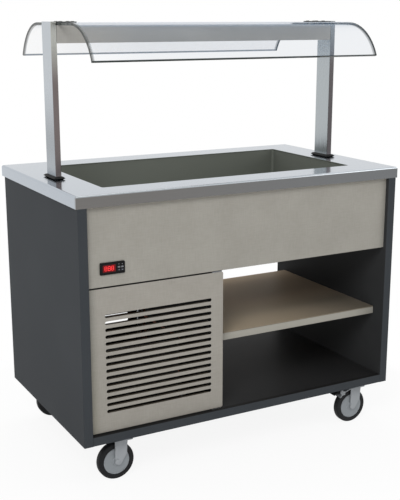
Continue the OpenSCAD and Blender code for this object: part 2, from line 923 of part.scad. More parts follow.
// Outline of the light box across its length, open below between two lips
module light_box_outline() {
  inner = post_depth / 2 - light_box_sheet;
  difference() {
    translate([-post_depth / 2, light_box_base])
      square([post_depth, light_box_height]);
    translate([-inner, light_box_base + light_box_sheet])
      square([2 * inner, light_box_height - 2 * light_box_sheet]);
    translate([-inner + diffuser_lip, light_box_base - cut])
      square([2 * (inner - diffuser_lip), 2 * cut + light_box_sheet]);
  }
}

// Folded housing between the posts, its ends closed
module light_box() {
  inner = post_depth / 2 - light_box_sheet;
  color([0.60, 0.585, 0.55])
    difference() {
      union() {
        facing_x(-light_box_half, light_box_half)
          light_box_outline();
        for (side = [-1, 1])
          translate([side * (light_box_half - light_box_sheet / 2),
                     0, light_box_base + light_box_height / 2])
            cube([light_box_sheet, post_depth, light_box_height], center = true);
      }
      at_clamp_bolts()
        translate([0, 0, light_box_top - light_box_sheet - cut])
          cylinder(h = light_box_sheet + 2 * cut, r = clamp_bolt_diameter / 2 + easy, $fn = 32);
    }
}

module lamp_tube() {
  cap_x = lamp_half - lamp_cap / 2;
  pin_x = lamp_half + lamp_pin_length / 2;
  color([0.95, 0.95, 0.92]) {
    along_x(0, lamp_z, -lamp_half + lamp_cap, lamp_half - lamp_cap, lamp_diameter / 2 - 0.5);
    for (side = [-1, 1]) {
      along_x(0, lamp_z, side * cap_x - lamp_cap / 2, side * cap_x + lamp_cap / 2,
              lamp_diameter / 2);
      for (pin = [-1, 1])
        along_x(pin * lamp_pin_offset, lamp_z, side * pin_x - lamp_pin_length / 2,
                side * pin_x + lamp_pin_length / 2, lamp_pin_radius, $fn = 16);
    }
  }
}

// Two holders that hang the lamp from the housing's top
module lamp_holders() {
  thickness = lamp_holder_thickness;
  middle = lamp_half + thickness / 2 + easy;
  color([0.92, 0.92, 0.90])
    for (side = [-1, 1])
      difference() {
        union() {
          along_x(0, lamp_z, side * middle - thickness / 2, side * middle + thickness / 2,
                  lamp_holder_size[1] / 2);
          translate([side * middle - thickness / 2, -lamp_holder_size[0] / 2, lamp_z])
            cube([thickness, lamp_holder_size[0], light_box_top - light_box_sheet - lamp_z]);
        }
        for (pin = [-1, 1])
          along_x(pin * lamp_pin_offset, lamp_z, side * lamp_half - thickness,
                  side * lamp_half + thickness, lamp_pin_radius + easy / 2, $fn = 16);
      }
}

// Opal strip that lies on the lips and closes the light box
module lamp_diffuser() {
  inner = post_depth / 2 - light_box_sheet - slack;
  color([0.93, 0.94, 0.95])
    translate([-light_box_half + light_box_sheet + slack, -inner, light_box_base + light_box_sheet])
      cube([2 * (light_box_half - light_box_sheet - slack), 2 * inner, diffuser_thickness]);
}

// Outline of the bent clear sheet in the YZ plane: a flat middle and two arcs
module guard_outline() {
  middle = guard_top - guard_radius;
  translate([-guard_flat / 2, guard_underside])
    square([guard_flat, guard_thickness]);
  for (side = [-1, 1])
    mirror([side < 0 ? 1 : 0, 0])
      translate([guard_flat / 2, middle])
        intersection() {
          difference() {
            circle(guard_radius, $fn = 128);
            circle(guard_radius - guard_thickness, $fn = 128);
          }
          polygon([
            [0, 0],
            [0, 2 * guard_radius],
            [2 * guard_radius * sin(guard_angle), 2 * guard_radius],
            [2 * guard_radius * sin(guard_angle), 2 * guard_radius * cos(guard_angle)]
          ]);
        }
}

module sneeze_guard() {
  color([0.80, 0.86, 0.88, 0.4])
    difference() {
      facing_x(-guard_half, guard_half)
        guard_outline();
      at_clamp_bolts()
        translate([0, 0, guard_underside - cut])
          cylinder(h = guard_thickness + 2 * cut, r = clamp_bolt_diameter / 2 + slack, $fn = 32);
    }
}

// Places of the bolts through the clear sheet
module at_clamp_bolts() {
  for (side = [-1, 1], x = [-1, 1], y = [-1, 1])
    translate([side * clamp_x + x * clamp_bolt_spacing / 2, y * clamp_bolt_spacing / 2, 0])
      children();
}

// Plates on the clear sheet beside the posts, with their bolts and nuts
module guard_clamps() {
  nut_height = 5;
  color([0.45, 0.45, 0.44]) {
    for (side = [-1, 1])
      difference() {
        upright([side * clamp_x, 0], [clamp_length, clamp_length], 6, guard_top, post_top);
        at_clamp_bolts()
          translate([0, 0, guard_top - cut])
            cylinder(h = clamp_thickness + 2 * cut,
                     r = clamp_bolt_diameter / 2 + running, $fn = 32);
      }
    at_clamp_bolts() {
      translate([0, 0, light_box_top - light_box_sheet - nut_height - 1])
        cylinder(h = post_top - light_box_top + light_box_sheet + nut_height + 1,
                 r = clamp_bolt_diameter / 2, $fn = 32);
      translate([0, 0, post_top])
        intersection() {
          cylinder(h = 1.5, r = 6, $fn = 32);
          translate([0, 0, -6])
            sphere(9, $fn = 48);
        }
      translate([0, 0, light_box_top - light_box_sheet - nut_height])
        cylinder(h = nut_height, r = 5.5, $fn = 6);
    }
  }
}

// ---------- Controller ----------

// Front and body of the temperature controller
module controller_housing() {
  color([0.07, 0.07, 0.075])
    difference() {
      union() {
        facing_y(controller_face, panel_front)
          translate([controller_x, controller_z])
            rounded_rect([controller_width, controller_height], 3);
        facing_y(panel_front, panel_front + controller_body)
          translate([controller_x, controller_z])
            square(controller_neck, center = true);
      }
      facing_y(controller_face - cut, controller_face + 1.5)
        translate([window_x, controller_z])
          rounded_rect(window_size + [easy, easy], 2);
      at_keys()
        facing_y(controller_face - cut, controller_face + key_size[1] + key_travel)
          rounded_rect([key_size[0], key_size[2]] + [easy, easy] * 2, 1.2);
    }
}

// Places of the four keys
module at_keys() {
  for (column = [-1, 1], row = [-1, 1])
    translate([key_centre_x + column * key_pitch[0] / 2, 0,
               key_centre_z + row * key_pitch[1] / 2])
      children();
}

// Tinted window in front of the digits
module controller_window() {
  color([0.55, 0.02, 0.02])
    facing_y(controller_face + 0.3, controller_face + 1.5)
      translate([window_x, controller_z])
        rounded_rect(window_size, 2);
}

// One key, proud of the front by its travel and a little more
module key(column, row) {
  color([0.32, 0.33, 0.34])
    translate([key_centre_x + column * key_pitch[0] / 2, 0,
               key_centre_z + row * key_pitch[1] / 2])
      facing_y(controller_face - key_travel - 0.2,
               controller_face + key_size[1] - 0.2)
        rounded_rect([key_size[0], key_size[2]], 1);
}

module up_key() {
  key(-1, 1);
}

module down_key() {
  key(-1, -1);
}

module power_key() {
  key(1, 1);
}

module set_key() {
  key(1, -1);
}

// ---------- Door ----------

// Louvred door: folded sheet, with bushes for the pivot pins at its right edge
module louvred_door() {
  bush_radius = door_pin_diameter / 2 + 3;
  color([0.61, 0.595, 0.56])
    difference() {
      union() {
        translate([0, panel_front, 0]) {
          folded_panel(door_left, door_right, door_base, door_top, door_corner_radius)
            louvres(louvre_count, door_top_slot);
          louvre_lips(louvre_count, door_top_slot);
        }
        translate([pivot_x, pivot_y, door_base])
          cylinder(h = hinge_bush_length, r = bush_radius);
        translate([pivot_x, pivot_y, door_top - hinge_bush_length])
          cylinder(h = hinge_bush_length, r = bush_radius);
      }
      translate([pivot_x, pivot_y, door_base - cut])
        cylinder(h = hinge_bush_length + 2 * cut, r = door_pin_diameter / 2 + running);
      translate([pivot_x, pivot_y, door_top - hinge_bush_length - cut])
        cylinder(h = hinge_bush_length + 2 * cut, r = door_pin_diameter / 2 + running);
    }
}

// Plan of a pivot plate: an eye around the pin and a leg to the board that carries it
module pivot_plate(low, thickness) {
  translate([0, 0, low])
    linear_extrude(thickness) {
      translate([pivot_x, pivot_y])
        circle(hinge_plate_width / 2);
      translate([hinge_leg_x, pivot_y - hinge_plate_width / 2])
        square([pivot_x - hinge_leg_x, hinge_plate_width]);
      translate([hinge_leg_x, pivot_y - hinge_plate_width / 2])
        square(hinge_leg);
    }
}

// Pivot plates with their pins, and the magnet that holds the door shut
module door_hardware() {
  color([0.70, 0.71, 0.73]) {
    pivot_plate(base_top, hinge_leaf);
    translate([pivot_x, pivot_y, base_top])
      cylinder(h = reveal + hinge_bush_length - slack, r = door_pin_diameter / 2);
    pivot_plate(door_top + hinge_gap, hinge_leaf);
    translate([pivot_x, pivot_y, door_top - hinge_bush_length + slack])
      cylinder(h = hinge_bush_length - slack + hinge_gap, r = door_pin_diameter / 2);
    translate([hinge_leg_x, front_fold_end + 2, door_top + hinge_gap + hinge_leaf])
      cube([hinge_leg[0], hinge_block, ceiling_base - door_top - hinge_gap - hinge_leaf]);
    translate([-inner_half, front_fold_end + easy, (door_base + door_top - magnet_size[2]) / 2])
      cube(magnet_size);
  }
}

// ---------- Condensing unit ----------

// Galvanised tray with a folded edge
module unit_tray() {
  color([0.66, 0.67, 0.68])
    difference() {
      upright([fan_x, tray_y], tray_size, 4, base_top, base_top + tray_height);
      upright([fan_x, tray_y],
              [tray_size[0] - 2 * tray_sheet, tray_size[1] - 2 * tray_sheet], 2,
              tray_floor, base_top + tray_height + cut);
    }
}

// Hermetic compressor: domed shell with a weld seam, on a foot plate
module compressor() {
  radius = compressor_diameter / 2;
  dome = 36;
  seam = [3, 5];
  foot = 4;
  color([0.09, 0.09, 0.10])
    translate([compressor_x, compressor_y, compressor_base]) {
      rotate_extrude() {
        translate([0, dome])
          square([radius, compressor_height - 2 * dome]);
        square([radius - dome, compressor_height]);
        intersection() {
          square([radius, compressor_height]);
          for (z = [dome, compressor_height - dome])
            translate([radius - dome, z])
              circle(dome);
        }
        translate([0, compressor_height / 2])
          square([radius + seam[0], seam[1]]);
      }
      upright([0, 0], [compressor_diameter + 34, compressor_diameter - 30], 8, 0, foot);
      for (x = [-1, 1], y = [-1, 1])
        translate([x * (radius + 6), y * (radius - 28), tray_floor - compressor_base])
          cylinder(h = compressor_base - tray_floor + 2 * foot, r = foot);
    }
}

// Cover of the compressor's terminals, on the shell's left side
module terminal_box() {
  depth = 34;
  color([0.13, 0.13, 0.14])
    difference() {
      translate([compressor_x - compressor_diameter / 2 - depth,
                 compressor_y - 30, compressor_base + 20])
        facing_x(0, depth + 20)
          translate([30, 26])
            rounded_rect([60, 52], 6);
      translate([compressor_x, compressor_y, compressor_base])
        cylinder(h = compressor_height, r = compressor_diameter / 2 + easy);
    }
}

// Finned block between two end plates; the fins are cut from both faces of the block
module condenser_coil() {
  pitch = condenser_width / condenser_fin_count;
  fin = 1.2;
  core = 6;
  low_x = fan_x - condenser_width / 2;
  groove = (condenser_depth - core) / 2;
  color([0.16, 0.16, 0.17])
    difference() {
      translate([low_x - condenser_plate, condenser_front, condenser_base])
        cube([condenser_width + 2 * condenser_plate, condenser_depth, condenser_height]);
      for (k = [0:condenser_fin_count - 1], face = [0, 1])
        translate([low_x + k * pitch + fin / 2,
                   face == 0 ? condenser_front - cut : condenser_back - groove,
                   condenser_base + condenser_plate])
          cube([pitch - fin, groove + cut, condenser_height - 2 * condenser_plate]);
    }
}

// Sheet shroud behind the condenser, with the fan's ring and the arms that hold the motor
module fan_shroud() {
  ring = fan_diameter / 2 + 4;
  sheet = 1.5;
  half_width = condenser_width / 2 + condenser_plate;
  color([0.20, 0.205, 0.21])
    difference() {
      union() {
        difference() {
          union() {
            facing_y(condenser_back, condenser_back + sheet)
              translate([fan_x - half_width, condenser_base])
                square([2 * half_width, condenser_height]);
            along_y(fan_x, fan_z, condenser_back, motor_front - arm_depth / 2, ring + sheet, $fn = 96);
          }
          along_y(fan_x, fan_z, condenser_back - cut, motor_front, ring, $fn = 96);
        }
        for (angle = [45, 135])
          translate([fan_x, motor_front - arm_depth / 2, fan_z])
            rotate([0, angle, 0])
              cube([2 * ring + sheet, arm_depth, 12], center = true);
      }
      along_y(fan_x, fan_z, condenser_back, motor_front + cut, fan_shaft_diameter / 2 + slack);
    }
}

// Round motor with cooling ribs, behind the arms of the shroud
module fan_motor() {
  color([0.16, 0.165, 0.17])
    difference() {
      union() {
        along_y(fan_x, fan_z, motor_front, motor_front + motor_length, motor_diameter / 2 - 4);
        for (k = [0:3])
          along_y(fan_x, fan_z, motor_front + k * 14, motor_front + k * 14 + 6,
                  motor_diameter / 2);
      }
      along_y(fan_x, fan_z, motor_front - cut, motor_front + 30, fan_shaft_diameter / 2 + running,
              $fn = 32);
    }
}

// Fan: hub with the shaft, and pitched blades with swept outlines
module fan_blades() {
  depth = 26;
  hub = 24;
  blade = 1.6;
  color([0.10, 0.10, 0.11])
    translate([fan_x, fan_y, fan_z])
      rotate([90, 0, 0]) {
        translate([0, 0, -depth / 2])
          cylinder(h = depth, r = hub);
        translate([0, 0, -(motor_front - fan_y) - 26])
          cylinder(h = motor_front - fan_y + 26, r = fan_shaft_diameter / 2, $fn = 32);
        for (k = [0:fan_blade_count - 1])
          rotate(360 * k / fan_blade_count)
            intersection() {
              translate([0, 0, -depth / 2])
                linear_extrude(depth)
                  blade_outline(hub);
              rotate([0, fan_pitch, 0])
                cube([fan_diameter, 3 * fan_diameter, blade], center = true);
            }
      }
}

// Outline of one blade along +Y: a crescent that leans forward, inside the fan's circle
module blade_outline(hub) {
  lean = 16;
  intersection() {
    circle(fan_diameter / 2, $fn = 96);
    translate([-fan_diameter * 0.17, hub - 6])
      rotate(-lean)
        square([fan_diameter * 0.30, fan_diameter * 0.6]);
    translate([fan_diameter * 0.06, fan_diameter * 0.24])
      circle(fan_diameter * 0.27, $fn = 64);
  }
}

// Pipes of the refrigerant circuit, with the drier in the liquid line
module refrigerant_pipes() {
  radius = pipe_diameter / 2;
  turn = 20;
  port = 28;
  side = fan_x + condenser_width / 2 + condenser_plate;
  core_y = (condenser_front + condenser_back) / 2;
  shell_top = compressor_base + compressor_height;
  high = condenser_base + condenser_height - 14;
  low = condenser_base + 14;
  drier_y = compressor_y - 50;
  crossing = riser_base - 50;
  suction_z = (crossing + shell_top) / 2;
  color([0.74, 0.46, 0.29]) {
    // return bends at the condenser's right end plate
    for (z = [low + 26:40:high - 36])
      translate([side, core_y, z])
        rotate([90, 0, 0])
          rotate([0, 0, -90])
            rotate_extrude(angle = 180)
              translate([10, 0])
                circle(radius, $fn = 24);
    // from the compressor's top to the condenser's upper tube
    swept(rounded_route([
      [compressor_x - port, compressor_y, shell_top],
      [compressor_x - port, compressor_y, high],
      [side + port, compressor_y, high],
      [side + port, core_y, high],
      [side, core_y, high]
    ], turn), radius, 8);
    // from the condenser's lower tube, through the drier, up to the evaporator
    swept(rounded_route([
      [side, core_y, low],
      [side + port, core_y, low],
      [side + port, drier_y, low],
      [side + port, drier_y, crossing],
      [liquid_riser[0], liquid_riser[1], crossing],
      [liquid_riser[0], liquid_riser[1], riser_base]
    ], turn), radius, 8);
    translate([side + port, drier_y, low + 70])
      rotate_extrude()
        polygon([
          [0, 0], [radius + 1, 0], [radius + 2, 8], [14, 18],
          [14, 92], [radius + 2, 102], [radius + 1, 110], [0, 110]
        ]);
    // suction line from the evaporator down to the compressor
    swept(rounded_route([
      [suction_riser[0], suction_riser[1], riser_base],
      [suction_riser[0], suction_riser[1], suction_z],
      [compressor_x + port, compressor_y, suction_z],
      [compressor_x + port, compressor_y, shell_top]
    ], turn), radius, 8);
  }
}

// Gland where the supply enters, with its nut inside the rear service panel
gland_x = -inner_half + 70;
gland_z = base_top + 48;
gland_radius = 10;

module cable_gland() {
  color([0.12, 0.12, 0.125])
    difference() {
      union() {
        along_y(gland_x, gland_z, panel_rear - panel_fold, panel_rear + 10, gland_radius);
        along_y(gland_x, gland_z, panel_rear, panel_rear + 8, gland_radius + 4, $fn = 6);
        along_y(gland_x, gland_z, panel_rear - panel_sheet - 5, panel_rear - panel_sheet,
                gland_radius + 4, $fn = 6);
      }
      along_y(gland_x, gland_z, panel_rear - panel_fold - cut, panel_rear + 10 + cut,
              gland_radius / 2);
    }
}

// ---------- Casters ----------

// Places of the four swivel axes on the floor
caster_left = -cabinet_half + caster_left_inset;
caster_right = cabinet_half - caster_right_inset;
caster_front = cabinet_front + caster_front_inset;
caster_rear = cabinet_rear - caster_rear_inset;
caster_places = [
  [caster_left, caster_front], [caster_right, caster_front],
  [caster_left, caster_rear], [caster_right, caster_rear]
];

module at_casters() {
  for (place = caster_places)
    translate([place[0], place[1], 0])
      children();
}

module at_caster(index) {
  translate([caster_places[index][0], caster_places[index][1], 0])
    children();
}

// Places of the four bolts of one caster
module at_caster_bolts() {
  for (x = [-1, 1], y = [-1, 1])
    translate([x * plate_bolt[0] / 2, y * plate_bolt[1] / 2, 0])
      children();
}

// Mounting plates with their upper races, kingpins and bolts
module caster_plates() {
  color([0.66, 0.67, 0.69])
    at_casters() {
      difference() {
        upright([0, 0], plate_size, 8, race_top, caster_height);
        at_caster_bolts()
          translate([0, 0, race_top - cut])
            cylinder(h = plate_thickness + 2 * cut,
                     r = caster_bolt_diameter / 2 + running, $fn = 32);
      }
      rotate_extrude()
        polygon([
          [0, race_split + race_gap], [24, race_split + race_gap],
          [28, race_split + race_gap + 2], [30, race_top], [0, race_top]
        ]);
      translate([0, 0, crown_top - fork_sheet - 5])
        cylinder(h = race_top - crown_top + fork_sheet + 5, r = kingpin_diameter / 2);
      translate([0, 0, crown_top - fork_sheet - easy - 5])
        cylinder(h = 5, r = kingpin_diameter / 2 + 3, $fn = 6);
      at_caster_bolts() {
        translate([0, 0, race_top])
          cylinder(h = plate_thickness + caster_bolt_depth,
                   r = caster_bolt_diameter / 2, $fn = 32);
        translate([0, 0, race_top - 5])
          cylinder(h = 5, r = 7, $fn = 6);
      }
    }
}

// Outline of a fork leg in the XZ plane: its left edge stands upright, its tip is round
module leg_outline() {
  tip = 12;
  rise = crown_top - axle_z;
  translate([-caster_trail, axle_z]) {
    translate([tip - 7, 0])
      circle(tip);
    polygon([
      [-7, 0], [-7, rise], [37, rise], [34, 24], [24, 8],
      [tip - 7 + tip * cos(40), -tip * sin(40)], [tip - 7, 0]
    ]);
  }
}

// Pressed fork: two legs and a crown around the kingpin; the axle bolt is a piece of its own in
// the same node. A braked fork also has a guard over the tyre and the ears for the pedal.
module fork(braked) {
  color([0.62, 0.64, 0.66]) {
    difference() {
      union() {
        for (side = [-1, 1])
          facing_y(side * (leg_inner + fork_sheet / 2) - fork_sheet / 2,
                   side * (leg_inner + fork_sheet / 2) + fork_sheet / 2)
            leg_outline();
        upright([(-caster_trail + 26) / 2, 0], [caster_trail + 26, 2 * leg_outer], 6,
                crown_top - fork_sheet, crown_top);
        rotate_extrude()
          polygon([
            [0, crown_top - 0.5], [25, crown_top - 0.5], [25, race_split - 2],
            [22, race_split], [0, race_split]
          ]);
        if (braked) {
          tyre_guard();
          pedal_ears();
        }
      }
      translate([0, 0, crown_top - fork_sheet - cut])
        cylinder(h = race_split - crown_top + fork_sheet + 2 * cut,
                 r = kingpin_diameter / 2 + running);
      along_y(-caster_trail, axle_z, -leg_outer - cut, leg_outer + cut,
              axle_diameter / 2 + running);
      if (braked)
        along_y(pedal_pin_x, pedal_pin_z, -leg_outer - cut, leg_outer + cut,
                pedal_pin_diameter / 2 + running, $fn = 32);
    }
    along_y(-caster_trail, axle_z, -leg_outer - 1, leg_outer + 1, axle_diameter / 2);
    for (side = [-1, 1])
      along_y(-caster_trail, axle_z, side * (leg_outer + 0.85) - 0.75,
              side * (leg_outer + 0.85) + 0.75, 8.5);
    if (braked)
      along_y(pedal_pin_x, pedal_pin_z, -leg_outer - 1, leg_outer + 1, pedal_pin_diameter / 2,
              $fn = 32);
  }
}

// Curved sheet that follows the tyre from the crown to the brake pedal
module tyre_guard() {
  translate([-caster_trail, 0, axle_z])
    rotate([90, 0, 0])
      rotate([0, 0, 90])
        rotate_extrude(angle = fender_angle, $fn = 96)
          translate([fender_radius, -leg_outer])
            square([fork_sheet, 2 * leg_outer]);
}

// Ears on the fork that hold the brake pedal's pin
module pedal_ears() {
  for (side = [-1, 1])
    facing_y(side * (leg_outer - fork_sheet / 2) - fork_sheet / 2,
             side * (leg_outer - fork_sheet / 2) + fork_sheet / 2) {
      translate([pedal_pin_x, pedal_pin_z])
        circle(7);
      translate([pedal_pin_x - 2, pedal_pin_z - 12])
        square([16, 14]);
    }
}

// Brake pedal: barrel around the pin, a ribbed tread plate and the shoe above the tyre
module pedal() {
  width = 2 * (leg_outer - fork_sheet) - 2 * easy;
  pin = pedal_pin_diameter / 2;
  color([0.07, 0.07, 0.07])
    translate([pedal_pin_x, 0, pedal_pin_z])
      difference() {
        facing_y(-width / 2, width / 2) {
          circle(pin + 3);
          polygon([[-2, 6], [-34, -2], [-36, -6], [-33, -8], [-4, -5]]);
          for (k = [0:3])
            translate([-14 - 6 * k, 3.2 - 1.5 * k])
              circle(1.6, $fn = 16);
        }
        along_y(0, 0, -width, width, pin + running, $fn = 32);
      }
}

// Grey hub with a flat disc on each face
module hub() {
  half = wheel_width / 2;
  color([0.56, 0.58, 0.59])
    translate([-caster_trail, 0, axle_z])
      rotate([90, 0, 0])
        rotate_extrude($fn = 96)
          polygon([
            [axle_diameter / 2 + running, -half - 2], [14, -half - 2], [16, -half],
            [hub_diameter / 2 - 2, -half], [hub_diameter / 2, -half + 2],
            [hub_diameter / 2, half - 2], [hub_diameter / 2 - 2, half],
            [16, half], [14, half + 2], [axle_diameter / 2 + running, half + 2]
          ]);
}

// Rubber tyre with rounded shoulders
module tyre() {
  half = wheel_width / 2;
  shoulder = 6;
  color([0.05, 0.05, 0.055])
    translate([-caster_trail, 0, axle_z])
      rotate([90, 0, 0])
        rotate_extrude($fn = 96) {
          translate([hub_diameter / 2 + running, -half + 1])
            square([wheel_diameter / 2 - shoulder - hub_diameter / 2 - running, wheel_width - 2]);
          translate([wheel_diameter / 2 - shoulder - 0.01, -half + 1 + shoulder])
            square([shoulder + 0.01, wheel_width - 2 - 2 * shoulder]);
          for (side = [-1, 1])
            translate([wheel_diameter / 2 - shoulder, side * (half - 1 - shoulder)])
              circle(shoulder, $fn = 48);
        }
}

module front_left_fork() {
  at_caster(0) fork(false);
}

module front_right_fork() {
  at_caster(1) fork(true);
}

module rear_left_fork() {
  at_caster(2) fork(true);
}

module rear_right_fork() {
  at_caster(3) fork(false);
}

module front_left_hub() {
  at_caster(0) hub();
}

module front_right_hub() {
  at_caster(1) hub();
}

module rear_left_hub() {
  at_caster(2) hub();
}

module rear_right_hub() {
  at_caster(3) hub();
}

module front_left_tyre() {
  at_caster(0) tyre();
}

module front_right_tyre() {
  at_caster(1) tyre();
}

module rear_left_tyre() {
  at_caster(2) tyre();
}

module rear_right_tyre() {
  at_caster(3) tyre();
}

module front_right_pedal() {
  at_caster(1) pedal();
}

module rear_left_pedal() {
  at_caster(2) pedal();
}

// ---------- Assembly ----------

left_side_panel();
right_side_panel();
base_panel();
partition_panel();
bay_ceiling_panel();
front_upper_panel();
rear_upper_panel();
rear_service_panel();
shelf();
shelf_pins();
worktop_subframe();
worktop();
well_tank();
well_insulation();
evaporator_coil();
drain_pipes();
drain_valve();
drain_lever();
left_post();
right_post();
post_collars();
light_box();
lamp_tube();
lamp_holders();
lamp_diffuser();
sneeze_guard();
guard_clamps();
controller_housing();
controller_window();
up_key();
down_key();
set_key();
power_key();
louvred_door();
door_hardware();
unit_tray();
compressor();
terminal_box();
condenser_coil();
fan_shroud();
fan_motor();
fan_blades();
refrigerant_pipes();
cable_gland();
caster_plates();
front_left_fork();
front_left_hub();
front_left_tyre();
front_right_fork();
front_right_hub();
front_right_tyre();
rear_left_fork();
rear_left_hub();
rear_left_tyre();
rear_right_fork();
rear_right_hub();
rear_right_tyre();
front_right_pedal();
rear_left_pedal();
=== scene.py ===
"""Mobile salad bar: finishes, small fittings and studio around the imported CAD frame.

Metres, +Z up, +X to the right of someone who faces the louvred front, +Y to the rear.
"""

import logging
import math
from collections.abc import Callable, Iterable, Mapping, Sequence
from dataclasses import dataclass
from enum import Enum

import bpy
from mathutils import Euler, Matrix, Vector


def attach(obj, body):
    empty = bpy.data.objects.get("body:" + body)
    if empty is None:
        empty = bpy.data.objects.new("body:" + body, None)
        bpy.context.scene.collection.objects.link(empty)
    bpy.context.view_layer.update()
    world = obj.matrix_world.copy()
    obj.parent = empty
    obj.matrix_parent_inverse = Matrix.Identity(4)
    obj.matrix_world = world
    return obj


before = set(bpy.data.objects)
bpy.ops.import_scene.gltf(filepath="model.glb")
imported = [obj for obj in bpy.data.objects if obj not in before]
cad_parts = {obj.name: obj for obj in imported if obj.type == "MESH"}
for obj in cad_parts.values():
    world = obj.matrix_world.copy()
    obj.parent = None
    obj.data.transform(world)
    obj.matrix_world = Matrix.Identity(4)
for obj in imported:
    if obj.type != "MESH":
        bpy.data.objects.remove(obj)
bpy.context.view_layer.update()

LOG = logging.getLogger("salad_bar")
MM = 0.001

Colour = tuple[float, float, float, float]
Pair = tuple[float, float]
Triple = tuple[float, float, float]
Spot = Sequence[float]
Piece = bpy.types.Object
Material = bpy.types.Material


def srgb(red: float, green: float, blue: float) -> Colour:
    """Turns a screen colour into the linear colour that a shader takes.

    Args:
        red: Red from 0 to 255.
        green: Green from 0 to 255.
        blue: Blue from 0 to 255.

    Returns:
        Linear red, green, blue and an alpha of one.
    """
    def linear(level: float) -> float:
        """Linear value of one channel."""
        share = level / 255
        return share / 12.92 if share <= 0.04045 else ((share + 0.055) / 1.055) ** 2.4

    return linear(red), linear(green), linear(blue), 1.0


class Axis(Enum):
    """A direction of the shared frame."""

    X = 0
    Y = 1
    Z = 2


X, Y, Z = Axis


# ----- shader tools -----


def operator(operation: str, flipped: bool = False) -> Callable[["Signal", "Value"], "Signal"]:
    """Makes a method of Signal from an operation of the Math node.

    Args:
        operation: The operation.
        flipped: Whether the signal is the operation's second value.

    Returns:
        The method, which takes the other value.
    """
    def method(self: "Signal", other: "Value") -> "Signal":
        """Result of the operation on the signal and another value."""
        return self.network.math(operation, *((other, self) if flipped else (self, other)))

    return method


class Signal:
    """A shader socket that takes part in Python arithmetic."""

    def __init__(self, network: "Network", socket: bpy.types.NodeSocket) -> None:
        """Keeps the socket and the network that it belongs to."""
        self.network = network
        self.socket = socket

    __add__ = __radd__ = operator("ADD")
    __mul__ = __rmul__ = operator("MULTIPLY")
    __sub__ = operator("SUBTRACT")
    __rsub__ = operator("SUBTRACT", flipped=True)
    __pow__ = operator("POWER")
    larger = operator("MAXIMUM")
    smaller = operator("MINIMUM")

    def __abs__(self) -> "Signal":
        """Size without its sign."""
        return self.network.math("ABSOLUTE", self)

    def ramp(self, low: float, high: float) -> "Signal":
        """Soft step from 0 at the low value to 1 at the high value.

        Args:
            low: Value at which the step starts.
            high: Value at which the step ends; it may be below the low value.

        Returns:
            The step as a signal.
        """
        made = self.network.node(
            "ShaderNodeMapRange",
            {"interpolation_type": "SMOOTHSTEP"},
            {"Value": self, "From Min": min(low, high), "From Max": max(low, high)},
        )
        step = Signal(self.network, made.outputs["Result"])
        return step if high >= low else 1 - step


Value = float | Signal
Paint = Colour | Signal
BLACK: Colour = (0.0, 0.0, 0.0, 1.0)
WHITE: Colour = (1.0, 1.0, 1.0, 1.0)


class Network:
    """A node tree that is being written."""

    def __init__(self, tree: bpy.types.NodeTree) -> None:
        """Starts with an empty tree."""
        self.tree = tree
        self.tree.nodes.clear()

    def node(self, kind: str, settings: Mapping[str, object] | None = None,
             sockets: Mapping[str | int, object] | None = None) -> bpy.types.Node:
        """Adds one node.

        Args:
            kind: Blender's name of the node's type.
            settings: The node's own settings.
            sockets: Values or signals for its inputs.

        Returns:
            The new node.
        """
        made = self.tree.nodes.new(kind)
        for name, value in (settings or {}).items():
            setattr(made, name, value)
        for name, value in (sockets or {}).items():
            if isinstance(value, Signal):
                self.tree.links.new(value.socket, made.inputs[name])
            else:
                made.inputs[name].default_value = value
        return made

    def math(self, operation: str, *values: Value) -> Signal:
        """Result of a Math node on one or two values."""
        made = self.node("ShaderNodeMath", {"operation": operation}, dict(enumerate(values)))
        return Signal(self, made.outputs[0])

    def looking(self) -> Signal:
        """Tells rays that look at something from rays that carry light.

        Returns:
            1 for a straight ray and for one in a gloss or through glass, 0 for the others.
        """
        path = self.node("ShaderNodeLightPath")
        straight, gloss, through = (
            Signal(self, path.outputs[f"Is {kind} Ray"])
            for kind in ("Camera", "Glossy", "Transmission"))
        return straight.larger(gloss).larger(through)


@dataclass(frozen=True)
class Grain:
    """A noise pattern on the object's own coordinates.

    Attributes:
        scale: Waves per metre.
        detail: Number of finer layers.
        offset: Shift of the pattern, in metres.
        stretch: Factors of the scale along X, Y and Z.
    """

    scale: float
    detail: float = 2.0
    offset: float = 0.0
    stretch: Triple = (1.0, 1.0, 1.0)


